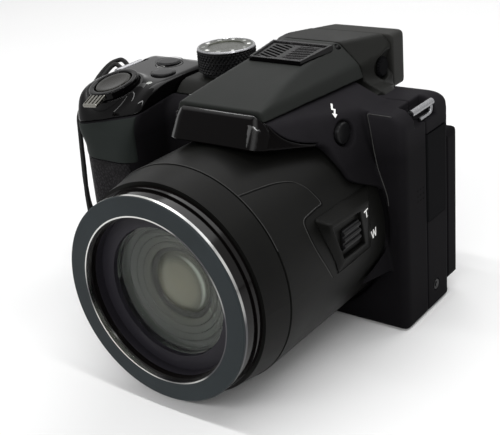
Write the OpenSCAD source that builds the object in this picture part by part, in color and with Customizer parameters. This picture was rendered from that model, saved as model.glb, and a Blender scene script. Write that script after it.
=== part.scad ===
// Bridge camera with a long zoom lens, a pop-up flash and a tilting monitor.
// Millimetres. The origin is the mouth of the tripod socket on the base plane.
// +Z is up, the lens looks along -Y, and +X is the camera's left side.

/* [Body] */
// Width of the body, grip side to left side
body_w = 115.5; // [114:0.5:119]
// Front wall, ahead of the tripod axis
body_front = 12; // [11.5:0.1:13]
// Rear wall, behind the tripod axis
body_rear = 16.3; // [16:0.1:17.5]
// Rise of the top deck above the lens barrel
deck_rise = 2.1; // [1.8:0.1:4]
// Wall thickness of the covers
wall = 2; // [1.8:0.05:2.2]
// Seam between the front and rear covers
seam_y = 2.2; // [1.8:0.1:2.6]
// Gap between neighbouring covers
seam_gap = 0.2; // [0.1:0.02:0.3]
// Radius of the left shoulder
shoulder_r = 5; // [4:0.25:6]

/* [Grip] */
// Width of the hand grip
grip_w = 30.3; // [30:0.1:32]
// How far the grip stands ahead of the front wall
grip_reach = 19.5; // [18:0.5:22]
// Plan radius of the outer front corner of the grip
grip_corner = 12; // [9:0.5:12.5]
// How far the grip's outer side draws in under the cap
grip_slim = 2; // [1:0.1:2.1]
// Rise of the glossy grip cap above the deck
cap_rise = 1.4; // [1:0.1:2]
// Height of the cap's lower edge at the outer front corner
cap_edge_z = 56; // [54:0.5:58]
// Radius of the cap's front slope
cap_slope_r = 22; // [18:0.5:22]
// Thickness of the grip rubber
rubber_t = 1.2; // [0.8:0.1:1.4]

/* [Lens] */
// Distance of the lens axis from the left side
lens_side = 39; // [38.5:0.25:40]
// Clearance under the lens barrel
barrel_lift = 0.9; // [0.8:0.1:2]
// Length of the fixed barrel ahead of the front wall
barrel_len = 58.2; // [56:0.2:62]
// Outer radius of the fixed barrel
barrel_r = 32.5; // [30:0.1:35]
// How much the barrel narrows at its front edge
barrel_step = 1.55; // [1.2:0.05:1.8]
// Length of the tapered front section of the barrel
barrel_taper = 9; // [6:0.5:14]
// Wall of the fixed barrel at its front edge
barrel_wall = 1.05; // [0.9:0.05:1.2]
// Radial gap between sliding barrels
slide_gap = 0.3; // [0.2:0.05:0.35]
// Wall of the moving barrels
tube_t = 1.3; // [1.1:0.05:1.4]
// Visible length of the middle barrel's collar
mid_collar = 2; // [1.5:0.1:3]
// Visible length of the front barrel's collar
front_collar = 5; // [4:0.1:7]
// Forward travel of the middle barrel
mid_travel = 22; // [16:1:24]
// Width of the front ring face with its outer trim
ring_face_w = 5.3; // [4.8:0.1:6.2]
// Width of the flat baffle around the front glass
baffle_w = 5.5; // [5:0.1:7]

/* [Flash] */
// Rear hinge line of the flash lid, behind the tripod axis
lid_hinge_y = 2.6; // [2.3:0.1:2.8]
// Height of the flash hinge line above the deck
lid_rise = 13; // [12.6:0.1:13.3]
// Front edge of the flash lid, ahead of the tripod axis
lid_front = 42.4; // [41:0.2:44]
// Radius of the flash button
flash_button_r = 3.2; // [2.6:0.1:3.6]

/* [Viewfinder] */
// Half width of the viewfinder housing
evf_half = 20.5; // [19.5:0.25:21.5]
// Highest point of the viewfinder above the deck
evf_rise = 14.3; // [14:0.1:15.5]
// Rear face of the eyecup, behind the tripod axis
eyecup_rear = 24.9; // [24:0.1:27]
// Radius of the eyepiece glass
eyepiece_r = 6; // [5:0.1:6.4]

/* [Controls] */
// Radius of the mode dial
dial_r = 9.65; // [8.5:0.05:9.8]
// Height of the mode dial above the deck
dial_h = 9; // [7:0.1:10]
// Radius of the shutter button
shutter_r = 6.1; // [5.5:0.1:6.4]
// How far the shutter button's seat lies below the top of the cap
shutter_drop = 2.5; // [2.2:0.1:2.8]
// Forward tilt of the shutter button, in degrees
shutter_tilt = 14; // [12:0.5:16]
// Radius of the top buttons
top_button_r = 3.9; // [3.2:0.1:4.2]
// Radius of the selector ring on the back
selector_r = 10.5; // [9.5:0.1:11]
// Radius of the small rear buttons
rear_button_r = 2.6; // [2.2:0.1:3]
// Radius of the thumb wheel
wheel_r = 7; // [6.6:0.1:7.4]
// Radial clearance of a button in its hole
button_gap = 0.1; // [0.06:0.02:0.16]
// Radial clearance of a shaft in its bore
shaft_gap = 0.05; // [0.03:0.01:0.08]

/* [Monitor] */
// Width of the monitor
monitor_w = 71.6; // [70:0.2:71.8]
// Height of the monitor
monitor_h = 50.3; // [49:0.1:50.5]
// Thickness of the monitor
monitor_t = 6.8; // [5:0.1:7]
// Lower edge of the monitor above the base
monitor_z = 4.1; // [4:0.1:4.4]

/* [Power] */
// Thickness, depth and height of the battery
battery_size = [8, 30, 44]; // [6:0.5:46]
// Thickness, depth and height of the memory card
card_size = [2.1, 24, 32]; // [2:0.1:32]
// Radius of the tripod thread
tripod_r = 3.175; // [3.1:0.025:3.3]
// Depth of the tripod thread
tripod_depth = 5.5; // [5:0.1:5.8]

/* [Hidden] */
$fn = 96;

// Colours
shell_black = [0.09, 0.09, 0.10];
gloss_black = [0.03, 0.03, 0.035];
rubber_black = [0.06, 0.06, 0.06];
steel = [0.72, 0.73, 0.75];
brass = [0.78, 0.62, 0.30];
glass_tint = [0.45, 0.52, 0.50, 0.5];
board_green = [0.10, 0.32, 0.16];
inner_grey = [0.35, 0.35, 0.37];

// Main planes
right_x = -body_w / 2;
left_x = body_w / 2;
front_y = -body_front;
rear_y = body_rear;
lens_x = left_x - lens_side;
lens_z = barrel_r + barrel_lift;
monitor_top = monitor_z + monitor_h;
brow_h = 13.6;
deck_z = max(lens_z + barrel_r + deck_rise, monitor_top + brow_h);
lid_hinge_z = deck_z + lid_rise;
evf_top = deck_z + evf_rise;
grip_left = right_x + grip_w;
grip_front_y = front_y - grip_reach;
cap_top_z = deck_z + cap_rise;
cap_tilt_x = 10.5;
cap_tilt_y = 6;
top_seam_z = deck_z - 4.1;
inner_rear = rear_y - wall;
far = 200;
skin = 0.02;

// Lens chain, from the fixed barrel inwards and from the front wall forwards
barrel_front_y = front_y - barrel_len;
neck_r = barrel_r - 1.7;
barrel_front_r = barrel_r - barrel_step;
neck_rear = front_y + 4;
neck_gap = 0.2;
bore_r = barrel_front_r - barrel_wall;
cam_ro = bore_r - slide_gap;
cam_ri = cam_ro - 1;
mid_ro = cam_ri - slide_gap;
mid_ri = mid_ro - tube_t;
front_ro = mid_ri - slide_gap;
front_ri = front_ro - tube_t;
collar_gap = 0.2;
mid_collar_rear = barrel_front_y - collar_gap;
mid_collar_front = mid_collar_rear - mid_collar;
front_collar_rear = mid_collar_front - collar_gap;
ring_front = front_collar_rear - front_collar;
ring_seat = ring_front + 1.6;
mid_collar_r = barrel_front_r - 0.95;
front_collar_r = mid_collar_r - 0.6;
ring_r = front_collar_r + 0.2;
inner_ring_r = ring_r - ring_face_w;
glass_r = inner_ring_r - baffle_w;
trim_front = ring_front + 0.7;
glass_rear = ring_seat + 8;
cell_rear = ring_seat + 12;
barrel_clear = barrel_r + 0.4;
lens_back = front_y + 12;
tube_rear = front_y - 14;
plate_t = 2;
rim_front = front_y - 1.7;
focus_y = front_y + 3;
focus_r = 9.3;
rail_x = 7.5;
rail_r = 0.7;
relay_r = 11;
cup_r = neck_r - 7;
relay_front = front_y - 4;
aperture_len = 5;

// Flash and hump sections, half widths and heights measured from the lens axis
lid_front_y = -lid_front;
lid_gap = 0.35;
lid_side_front = [15, deck_z + 5];
lid_side_rear = [17.4, deck_z + 4.1];
lid_crease_front = [14, deck_z + 7.9];
lid_crease_rear = [15.5, deck_z + 8.6];
lid_knuckle_r = 1.6;
lid_top_front = [9.5, lid_hinge_z + 0.3];
lid_top_rear = [11.8, lid_hinge_z + lid_knuckle_r];
grille_front_y = -16;
fascia_back_y = lid_front_y - 0.4;
fascia_low = [16.6, lens_z + barrel_clear + 0.6];
hump_rear_half = 25;
hump_foot = [barrel_r - 0.9, lens_z + 2.2];
pocket_half = 13.2;
pocket_floor = lens_z + barrel_clear + 1.5;
head_half = 11.5;
head_y = [lid_front_y + 4.4, lid_front_y + 16.4];
head_top = lid_crease_front[1] - 0.6;
flash_pin_r = 0.8;
ear_in = 8.3;
ear_out = 10.5;
flash_button_y = -17.8;
flash_button_out = 24.8;
flash_stem = 4.4;
flash_flange = 0.4;
flash_travel = 0.8;
flash_inner = flash_button_out - flash_stem - flash_travel;
flash_button_z = lens_z + sqrt(barrel_r * barrel_r - flash_inner * flash_inner)
    + flash_button_r + flash_flange + 0.38;

// Viewfinder
evf_front_y = lid_hinge_y + 2;
evf_rear_y = rear_y + 0.9;
evf_axis_z = deck_z + 6.2;
evf_bore_r = eyepiece_r + 0.1;
evf_cell = [8.8, 5.3];
evf_cut_at = [lens_x - 13.6, lid_hinge_y + 5.6, evf_top - 0.2];
evf_cut_turn = 29.6;
evf_cut_slope = 20;
diopter_y = 13;
diopter_z = deck_z + 5.4;
diopter_r = 3.2;
diopter_in = evf_half - 2.2;

// Top controls
dial_x = lens_x - 35.4;
dial_y = 7.6;
dial_shaft_r = 2.5;
shutter_lean = 6;
shutter_pos = [right_x + 14.1, front_y - 5.9, cap_top_z - shutter_drop];
lever_ri = shutter_r + 0.4;
lever_ro = lever_ri + 2;
lever_h = 2.4;
lever_tab = 4.8;
boss_r = lever_ro + 0.9;
stem_r = 3;
power_pos = [right_x + 16, rear_y - 9.1];
burst_pos = [right_x + 22.9, -4];
top_button_proud = 0.5;
button_flange = 0.7;
button_len = 3.3;
top_board_z = cap_top_z - 8.6;
top_board_front = shutter_pos[1] + boss_r + 1;
rubber_z = [4.5, 47];
board_t = 1;

// Rear controls, as x and z
selector_pos = [right_x + 21.7, 27];
ok_r = selector_r - 5.6;
menu_pos = [right_x + 10.7, 9.5];
delete_pos = [right_x + 31.7, 9.5];
playback_pos = [right_x + 31.7, 45];
movie_pos = [right_x + 36, 54.5];
movie_r = rear_button_r + 0.9;
display_pos = [lens_x - 27.7, monitor_top + 5.6];
view_pos = [lens_x + 29, monitor_top + 5.6];
wheel_pos = [right_x + 10.5, rear_y - 4.1];
wheel_z = [cap_edge_z - 1, cap_edge_z + 2.5];
wheel_shaft_r = 1.2;
rear_board_y = rear_y - 6.5;
switch_len = 1.7;
rear_proud = 0.7;
flush_proud = 0.1;

// Monitor and its two hinge lines
monitor_x1 = left_x - 0.45;
monitor_x0 = monitor_x1 - monitor_w;
bay_y = rear_y - 0.9;
monitor_y0 = bay_y + 0.6;
monitor_y1 = monitor_y0 + monitor_t;
arm_y0 = bay_y - 0.9;
arm_y1 = bay_y + 0.3;
arm_floor = arm_y0 - 0.5;
hinge_y = monitor_y0 + 0.5;
low_hinge_z = monitor_z;
high_hinge_z = monitor_top;
knuckle_r = 1;
arm_x0 = monitor_x0 + 16;
arm_x1 = monitor_x1 - 16;
knuckle_w = 10;
lug_x0 = arm_x0 + 4 + knuckle_w;
lug_x1 = arm_x1 - 4 - knuckle_w;
lug_gap = 0.3;
stub_r = 0.6;
stub_len = 2.5;

// Battery bay
bay_x0 = right_x + 4.3;
battery_pos = [bay_x0 + 1.2, grip_front_y + 10, wall + 1.2];
card_pos = [battery_pos[0] + battery_size[0] + 5.8, grip_front_y + 16.5, wall + 1.2];
box_a = [bay_x0, battery_pos[1] - 1.1, wall];
box_b = [card_pos[0] + card_size[0] + 1.8, battery_pos[1] + battery_size[1] + 1.1,
         battery_pos[2] + battery_size[2] + 2.8];
pocket_gap = 0.2;
door_hinge_x = box_b[0] + 1.3;
door_hinge_z = 1.3;
door_knuckle_r = 1.1;
door_pin_r = 0.6;
door_a = [box_a[0] + 0.7, box_a[1] + 0.8, 0.15];
door_b = [door_hinge_x, box_b[1] - 0.8, 1.75];
door_gap = 0.2;

// Side door over the sockets
flap_y = [seam_y + 0.9, rear_y - 2.4];
flap_z = [30.6, 57.9];
flap_t = 1.4;
flap_pin_r = 0.7;
flap_hinge = [left_x - flap_pin_r - 0.05, flap_y[0]];

// Zoom motor in the corner below and beside the lens
motor_x = lens_x - barrel_r + 1.2;
motor_z = lens_z - barrel_r + 7.2;
motor_r = 4;

// Inner plates
chassis_y = lens_back + 2.7;
main_board_y = chassis_y + 3.3;
sensor_half = [5.5, 4.5];

// Strap eyelets
eyelet_r = 1;
eyelet_half = 6.3;
eyelet_inset = 1.7;
left_eyelet_z = deck_z - 1.8;
right_eyelet_z = cap_top_z - 2;
eyelet_depth = 5.5;
eyelet_drop = 3.7;

// Side zoom control on the barrel, its outlines given as y and height from the lens axis
pod_x = lens_x + barrel_r + 1.55;
pod_base_x = lens_x + barrel_r - 3.65;
pod_base = [[-43.1, 15], [-20.2, 14.8], [-13.4, -9], [-43.5, -11]];
pod_face = [[-43, 14.2], [-26.5, 13.2], [-24.6, 0.6], [-36.8, 0.9]];
pod_slot = [[-41.6, 12.9], [-27.8, 12], [-25.9, 1.6], [-36.8, 1.6]];
slider_y = [-36.6, -28.1];
slider_z = [lens_z + 3.8, lens_z + 9.8];
slider_floor = pod_x - 1.3;

// Wrist leash, as hand-set points from the grip-side eyelet and back to it
leash_r = 0.8;
leash_route = [
    [-58.2, 0.5, 67.2], [-60.5, 0.2, 68.4], [-63, -0.4, 67.5], [-64.6, -1.2, 64],
    [-65.4, -2.2, 58], [-65.8, -3, 48], [-66, -3.4, 36], [-66, -3.4, 24],
    [-66, -2.6, 13], [-65.8, 0.5, 5], [-65, 6, 1.6], [-63, 12.5, 0.9],
    [-59, 19, 0.9], [-53, 25, 0.9], [-46, 30, 0.9], [-38, 33.5, 0.9],
    [-30, 34.5, 0.9], [-23.5, 36, 0.9], [-21.5, 40, 0.9], [-24.5, 43.5, 0.9],
    [-31, 44, 0.9], [-39, 42.5, 0.9], [-48, 38.5, 0.9], [-56, 32.5, 0.9],
    [-62.5, 25, 0.9], [-66.5, 17, 0.9], [-68.3, 10, 1.8], [-68.8, 5.5, 6],
    [-68.8, 3.4, 14], [-68.8, 2.8, 24], [-68.6, 2.8, 36], [-68.2, 3, 48],
    [-67.4, 3.4, 58], [-66, 3.9, 64.5], [-63.4, 4.1, 68], [-60.6, 4.1, 68.6],
    [-58.2, 4, 67.2]
];

// Rectangle from corner a to corner b with four corner radii, from a round to the left
module rrect(a, b, r) {
    polygon([[a[0] + r[0], a[1]], [b[0] - r[1], a[1]], [b[0], a[1] + r[1]], [b[0], b[1] - r[2]],
             [b[0] - r[2], b[1]], [a[0] + r[3], b[1]], [a[0], b[1] - r[3]], [a[0], a[1] + r[0]]]);
    translate([a[0] + r[0], a[1] + r[0]]) circle(r[0]);
    translate([b[0] - r[1], a[1] + r[1]]) circle(r[1]);
    translate([b[0] - r[2], b[1] - r[2]]) circle(r[2]);
    translate([a[0] + r[3], b[1] - r[3]]) circle(r[3]);
}

// Box with its own corner radii in plan, from the front and from the side
module soft_box(a, b, plan, front, side) {
    intersection() {
        translate([0, 0, a[2]]) linear_extrude(b[2] - a[2])
            rrect([a[0], a[1]], [b[0], b[1]], plan);
        translate([0, b[1], 0]) rotate([90, 0, 0]) linear_extrude(b[1] - a[1])
            rrect([a[0], a[2]], [b[0], b[2]], front);
        translate([a[0], 0, 0]) rotate([90, 0, 90]) linear_extrude(b[0] - a[0])
            rrect([a[1], a[2]], [b[1], b[2]], side);
    }
}

module block(a, b) { translate(a) cube(b - a); }
module rod_x(y, z, x0, x1, r) { translate([x0, y, z]) rotate([0, 90, 0]) cylinder(r = r, h = x1 - x0); }
module rod_y(x, z, y0, y1, r) { translate([x, y0, z]) rotate([-90, 0, 0]) cylinder(r = r, h = y1 - y0); }
module rod_z(x, y, z0, z1, r) { translate([x, y, z0]) cylinder(r = r, h = z1 - z0); }

// A turned piece on the lens axis, its outline given as radius and y
module turned(outline) {
    translate([lens_x, 0, lens_z]) rotate([90, 0, 0])
        rotate_extrude() polygon([for (p = outline) [p[0], -p[1]]]);
}

// A thin upright slice across the hump, mirrored about the lens axis
function both_sides(half) = concat(half, [for (i = [len(half) - 1:-1:0]) [-half[i][0], half[i][1]]]);
module slice(y, half) {
    translate([lens_x, y, 0]) rotate([90, 0, 0]) linear_extrude(skin) polygon(both_sides(half));
}

function shrink(radii, i) = [for (r = radii) max(r - i, 0.4)];

// Outer forms of the body and of the grip, drawn in by i for their hollows
module main_form(i) {
    soft_box([right_x + i, front_y + i, i], [left_x - i, rear_y - i, deck_z - i],
             shrink([1, 3, 1.6, 8], i), shrink([3, 1.2, shoulder_r, 5], i), shrink([2, 2, 4, 4], i));
}
module grip_form(i) {
    side_x = right_x + i;
    difference() {
        soft_box([side_x, grip_front_y + i, i], [grip_left - i, rear_y - i, cap_top_z - i],
                 shrink([grip_corner, 8, 1, 8], i), shrink([3, 1, 3, 6], i), shrink([3, 2, 5, cap_slope_r], i));
        translate([0, far / 2, 0]) rotate([90, 0, 0]) linear_extrude(far)
            polygon([[side_x - far, -far], [side_x + grip_slim, -far], [side_x + grip_slim, rubber_z[1]],
                     [side_x, cap_edge_z], [side_x - far, cap_edge_z]]);
    }
}
module cover_shell() {
    difference() {
        union() {
            main_form(0);
            grip_form(0);
        }
        main_form(wall);
        grip_form(wall);
    }
}

// Space of the glossy cap, above a plane that rises to the left and to the rear
module cap_zone(gap) {
    intersection() {
        translate([right_x, grip_front_y, cap_edge_z + gap]) rotate([cap_tilt_y, -cap_tilt_x, 0])
            translate([-far / 2, -far / 2, 0]) cube([far, far, far]);
        block([right_x - 10, grip_front_y - 10, 0], [grip_left + seam_gap / 2 - gap, rear_y + 10, far]);
    }
}

// Space of the top cover: the deck beside the hump, and the deck behind it
module top_zone(gap) {
    deck_end = lens_x - hump_rear_half - 1;
    block([grip_left + gap, front_y - 1, top_seam_z + gap], [deck_end - gap, rear_y + 1, far]);
    block([grip_left + gap, seam_y + gap, top_seam_z + gap],
          [lens_x + evf_half + 2 - gap, rear_y + 1, far]);
}

// Frame for the shutter button and the lever around it
module at_shutter() {
    translate(shutter_pos) rotate([shutter_tilt, -shutter_lean, 0]) children();
}

// Round button pressed along its own axis, with a flange behind the wall
module button(r, proud, depth) {
    translate([0, 0, -depth]) cylinder(r = r, h = depth + proud);
    translate([0, 0, -depth]) cylinder(r = r + button_flange, h = depth - wall - button_gap);
}
module rear_button(pos, r, proud) {
    translate([pos[0], rear_y, pos[1]]) rotate([-90, 0, 0]) button(r, proud, button_len);
}
module rear_hole(pos, r) {
    rod_y(pos[0], pos[1], inner_rear - 1, rear_y + 1, r + button_gap);
}

// Strap eyelet: the pocket's lining, its hollow and its bar, on the side given by s
module eyelet_lining(s, z) {
    x = s * body_w / 2;
    block([min(x - s * 7, x - s * (wall - 0.1)), seam_y - eyelet_half - 1.3, z - eyelet_drop - 1.3],
          [max(x - s * 7, x - s * (wall - 0.1)), seam_y + eyelet_half + 1.3, z + 1.8 - wall + 0.1]);
}
module eyelet_hollow(s, z) {
    x = s * body_w / 2;
    block([min(x - s * eyelet_depth, x + s * 5), seam_y - eyelet_half, z - eyelet_drop],
          [max(x - s * eyelet_depth, x + s * 5), seam_y + eyelet_half, far]);
}
module eyelet_bar(s, z) {
    x = s * body_w / 2;
    rod_y(x - s * eyelet_inset, z, seam_y - eyelet_half, seam_y + eyelet_half, eyelet_r);
}

// Bottom opening of the battery bay, with room for the hinge knuckle
module door_opening() {
    block([door_a[0] - door_gap, door_a[1] - door_gap, -1],
          [door_hinge_x + door_knuckle_r + 0.5, door_b[1] + door_gap, wall + 1]);
    rod_y(door_hinge_x, door_hinge_z, door_a[1] - 3, door_b[1] + 3, door_pin_r + shaft_gap / 2);
}

// Screws with their heads sunk below the surface, four in the base and one in the left side
screw_head_r = 1.6;
screw_head_h = 0.9;
screw_shank_r = 0.8;
screw_sink = 0.25;
screw_len = 4;
base_screws = [[right_x + 36, -6], [right_x + 36, 12], [left_x - 17, -6], [left_x - 17, 12]];
side_screw = [7.6, 7.2];
module screw(clear) {
    translate([0, 0, clear > 0 ? -1 : screw_sink])
        cylinder(r = screw_head_r + clear, h = (clear > 0 ? 1 + screw_sink : 0) + screw_head_h);
    cylinder(r = screw_shank_r + clear / 2, h = screw_len + clear);
}
module all_screws(clear) {
    for (p = base_screws) translate([p[0], p[1], 0]) screw(clear);
    translate([left_x, side_screw[0], side_screw[1]]) rotate([0, -90, 0]) screw(clear);
}

// Speaker holes in the left wall
speaker_pos = [front_y + 9.85, lens_z + 9.8];
speaker_r = 4.3;
module speaker_holes() {
    for (i = [-1:1], j = [-1:1])
        rod_x(speaker_pos[0] + i * 2, speaker_pos[1] + j * 2, left_x - wall - 1, left_x + 1, 0.5);
}

module front_cover() color(shell_black) difference() {
    union() {
        difference() {
            union() {
                cover_shell();
                eyelet_lining(1, left_eyelet_z);
            }
            block([-far, seam_y - seam_gap / 2, -1], [far, far, far]);
            cap_zone(0);
            top_zone(0);
        }
        hull() {
            slice(fascia_back_y + skin, [fascia_low, lid_side_front - [0, lid_gap]]);
            slice(front_y + wall, [hump_foot, [hump_rear_half, deck_z], lid_side_rear - [0.9, lid_gap]]);
        }
        hull() {
            slice(front_y + wall, [[hump_rear_half, deck_z - wall + 0.5],
                                   [hump_rear_half, deck_z], lid_side_rear - [0.9, lid_gap]]);
            slice(seam_y - seam_gap / 2, [[hump_rear_half, deck_z - wall + 0.5],
                                          [hump_rear_half, deck_z], lid_side_rear - [0, lid_gap]]);
        }
    }
    rod_y(lens_x, lens_z, -far, front_y, barrel_clear);
    rod_y(lens_x, lens_z, front_y - 1, lens_back, neck_r + neck_gap);
    block([lens_x - pocket_half, lid_front_y + 1.4, pocket_floor], [lens_x + pocket_half, seam_y - 2, far]);
    rod_x(flash_button_y, flash_button_z, lens_x + 8, lens_x + 40, flash_button_r + button_gap);
    rod_x(flash_button_y, flash_button_z, lens_x + 8, lens_x + flash_button_out - flash_stem + 0.9,
          flash_button_r + flash_flange + 0.2);
    grip_skin();
    eyelet_hollow(1, left_eyelet_z);
    door_opening();
    rod_z(0, 0, -1, wall + 1, socket_r + shaft_gap);
    all_screws(0.1);
    speaker_holes();
}

module rear_cover() color(shell_black) difference() {
    union() {
        difference() {
            union() {
                cover_shell();
                eyelet_lining(1, left_eyelet_z);
                block([arm_x0 - 3, arm_floor - 1.4, wall], [arm_x1 + 3, inner_rear + 0.5, monitor_top + 3]);
                for (z = [wheel_z[0] - 1.6, wheel_z[1] + 0.2])
                    block([wheel_pos[0] - 3, wheel_pos[1] - 3, z],
                          [wheel_pos[0] + 3, inner_rear + 0.5, z + 1.4]);
                block([left_x - flap_t - 1.4, flap_y[0] - 2, flap_z[0] - 2],
                      [left_x - wall + 0.5, flap_y[1] + 1.6, flap_z[1] + 2]);
            }
            block([-far, -far, -1], [far, seam_y + seam_gap / 2, far]);
            cap_zone(0);
            top_zone(0);
            block([monitor_x0 - 1, bay_y, monitor_z - 1.6], [far, far, monitor_top + 1.2]);
            block([arm_x0 - 0.4, arm_floor, low_hinge_z - knuckle_r - 0.5],
                  [arm_x1 + 0.4, far, high_hinge_z + knuckle_r + 0.5]);
        }
        block([lug_x0 + lug_gap, arm_floor - 0.5, low_hinge_z - knuckle_r],
              [lug_x1 - lug_gap, hinge_y, low_hinge_z + knuckle_r]);
        rod_x(hinge_y, low_hinge_z, lug_x0 + lug_gap, lug_x1 - lug_gap, knuckle_r);
    }
    rod_x(hinge_y, low_hinge_z, lug_x0 - 1, lug_x1 + 1, stub_r + shaft_gap);
    rod_y(selector_pos[0], selector_pos[1], rear_y - 1.2, rear_y + 1, selector_r + 0.3);
    rear_hole(selector_pos, ok_r + 1.3);
    for (p = [menu_pos, delete_pos, playback_pos, display_pos, view_pos]) rear_hole(p, rear_button_r);
    rear_hole(movie_pos, movie_r);
    block([wheel_pos[0] - wheel_r - 0.4, wheel_pos[1] - 1, wheel_z[0] - 0.2],
          [wheel_pos[0] + wheel_r + 0.4, far, wheel_z[1] + 0.2]);
    rod_z(wheel_pos[0], wheel_pos[1], wheel_z[0] - 3, wheel_z[1] + 3, wheel_shaft_r + shaft_gap);
    block([left_x - flap_t - 0.1, flap_y[0] - flap_pin_r - 0.2, flap_z[0] - 0.2],
          [far, flap_y[1] + 0.2, flap_z[1] + 0.2]);
    block([left_x - 6, flap_y[0] + 2.4, flap_z[0] + 2.4], [far, flap_y[1] - 1.5, flap_z[1] - 2.4]);
    eyelet_hollow(1, left_eyelet_z);
    door_opening();
    all_screws(0.1);
    rod_z(0, 0, -1, wall + 1, socket_r + shaft_gap);
}

// Space over the right shoulder of the viewfinder, which falls away to the side and rear
module evf_cut() {
    translate(evf_cut_at) rotate([0, 0, -evf_cut_turn]) rotate([0, -evf_cut_slope, 0])
        translate([-far, -far / 2, 0]) cube([far, far, far]);
}

module top_cover() color(shell_black) difference() {
    union() {
        intersection() {
            difference() {
                main_form(0);
                main_form(wall);
            }
            top_zone(seam_gap);
        }
        hull() {
            slice(evf_front_y + skin, [[evf_half + 1.5, deck_z - wall + 0.5], [evf_half + 1.5, deck_z],
                                       [lid_side_rear[0], deck_z + 4.1], lid_crease_rear, lid_top_rear]);
            slice(evf_front_y + 3, [[evf_half + 1.5, deck_z - wall + 0.5], [evf_half + 1.5, deck_z],
                                    [evf_half - 2, deck_z + 7.5], [lid_top_rear[0] + 1, evf_top - 0.6]]);
            slice(rear_y - 0.1, [[evf_half, deck_z - wall + 0.5], [evf_half - 1.5, evf_top - 2.5],
                                 [evf_half - 4, evf_top - 0.2]]);
        }
        hull() {
            slice(rear_y - 0.2, [[evf_half, deck_z], [evf_half - 1.5, evf_top - 2.5],
                                 [evf_half - 4, evf_top - 0.2]]);
            slice(evf_rear_y, [[evf_half - 0.3, deck_z], [evf_half - 1.8, evf_top - 2.5],
                               [evf_half - 4.2, evf_top - 0.2]]);
        }
        for (s = [-1, 1]) {
            rod_x(lid_hinge_y, lid_hinge_z, lens_x + s * (ear_in + ear_out) / 2 - (ear_out - ear_in) / 2,
                  lens_x + s * (ear_in + ear_out) / 2 + (ear_out - ear_in) / 2, lid_knuckle_r);
            block([lens_x + s * (ear_in + ear_out) / 2 - (ear_out - ear_in) / 2, lid_hinge_y,
                   lid_hinge_z - lid_knuckle_r],
                  [lens_x + s * (ear_in + ear_out) / 2 + (ear_out - ear_in) / 2, evf_front_y + 1,
                   lid_hinge_z + lid_knuckle_r]);
        }
    }
    rod_x(lid_hinge_y, lid_hinge_z, lens_x - ear_out - 1, lens_x + ear_out + 1, flash_pin_r + shaft_gap / 2);
    rod_y(lens_x, evf_axis_z, evf_front_y + 5.5, far, evf_bore_r);
    block([lens_x - evf_cell[0] - 0.2, evf_front_y + 2.4, evf_axis_z - evf_cell[1] - 0.2],
          [lens_x + evf_cell[0] + 0.2, evf_front_y + 5.6, evf_axis_z + evf_cell[1] + 0.2]);
    rod_x(diopter_y, diopter_z, lens_x + diopter_in, lens_x + far, diopter_r + 0.3);
    rod_x(diopter_y, diopter_z, lens_x + diopter_in - 6, lens_x + diopter_in + 1, 1 + shaft_gap);
    rod_z(dial_x, dial_y, deck_z - wall - 1, deck_z + 1, dial_shaft_r + shaft_gap);
    evf_cut();
}

module grip_cap() color(gloss_black) difference() {
    union() {
        intersection() {
            union() {
                difference() {
                    grip_form(0);
                    grip_form(wall);
                }
                eyelet_lining(-1, right_eyelet_z);
            }
            cap_zone(seam_gap);
        }
        at_shutter() translate([0, 0, -5]) cylinder(r = boss_r, h = 5.2);
        for (p = [[right_x + 8, 3.5], [right_x + 26, 6.5]])
            rod_z(p[0], p[1], top_board_z + board_t, cap_top_z - wall + 0.5, 1.5);
    }
    at_shutter() translate([0, 0, -20]) cylinder(r = stem_r + button_gap, h = 40);
    at_shutter() translate([0, 0, -3.2]) cylinder(r = shutter_r + 0.2, h = 20);
    at_shutter() translate([0, 0, 0.2]) cylinder(r = lever_ro + 0.3, h = 20);
    for (p = [power_pos, burst_pos])
        rod_z(p[0], p[1], cap_top_z - 4, cap_top_z + 1, top_button_r + button_gap);
    eyelet_hollow(-1, right_eyelet_z);
}

// Outer skin of the grip that the rubber takes up
rubber_left = grip_left - 3;
module grip_skin() {
    intersection() {
        difference() {
            grip_form(-0.5);
            grip_form(rubber_t);
        }
        block([right_x - 5, grip_front_y - 5, rubber_z[0]], [rubber_left, front_y + 2, rubber_z[1]]);
    }
}
module grip_rubber() color(rubber_black) {
    intersection() {
        difference() {
            grip_form(0);
            grip_form(rubber_t - 0.03);
        }
        block([right_x - 5, grip_front_y - 5, rubber_z[0] + 0.1],
              [rubber_left - 0.1, front_y + 1.9, rubber_z[1] - 0.1]);
    }
    translate([0, rear_y + 1.2, 0]) rotate([90, 0, 0]) linear_extrude(1.2)
        rrect([right_x + 8, 15], [right_x + 10.4, 48], [1, 1, 1, 1]);
}

module fascia() color(gloss_black) hull() {
    slice(fascia_back_y, [fascia_low, lid_crease_front - [0, 0.3]]);
    slice(fascia_back_y - 0.5, [lid_crease_front - [0.1, 0.5], lid_crease_front - [0, 0.3]]);
    slice(fascia_back_y - 5, [fascia_low + [0, 0.1], fascia_low + [-0.2, 1]]);
}

module eyecup() color(rubber_black) difference() {
    soft_box([lens_x - evf_half, evf_rear_y, deck_z - 2.8], [lens_x + evf_half, eyecup_rear, evf_top],
             [1, 1, 4, 4], [2, 2, 3, 3], [0.5, 2.5, 2.5, 0.5]);
    rod_y(lens_x, evf_axis_z, evf_rear_y - 1, far, evf_bore_r + 1);
    soft_box([lens_x - evf_half + 7.5, evf_rear_y + 2, deck_z + 0.8],
             [lens_x + evf_half - 7.5, far, evf_top - 3.8],
             [1, 1, 1, 1], [3, 3, 3, 3], [1, 1, 1, 1]);
    evf_cut();
}

module eyepiece_lens() color(glass_tint)
    rod_y(lens_x, evf_axis_z, evf_rear_y - 3.6, evf_rear_y + 0.6, eyepiece_r);

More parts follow.
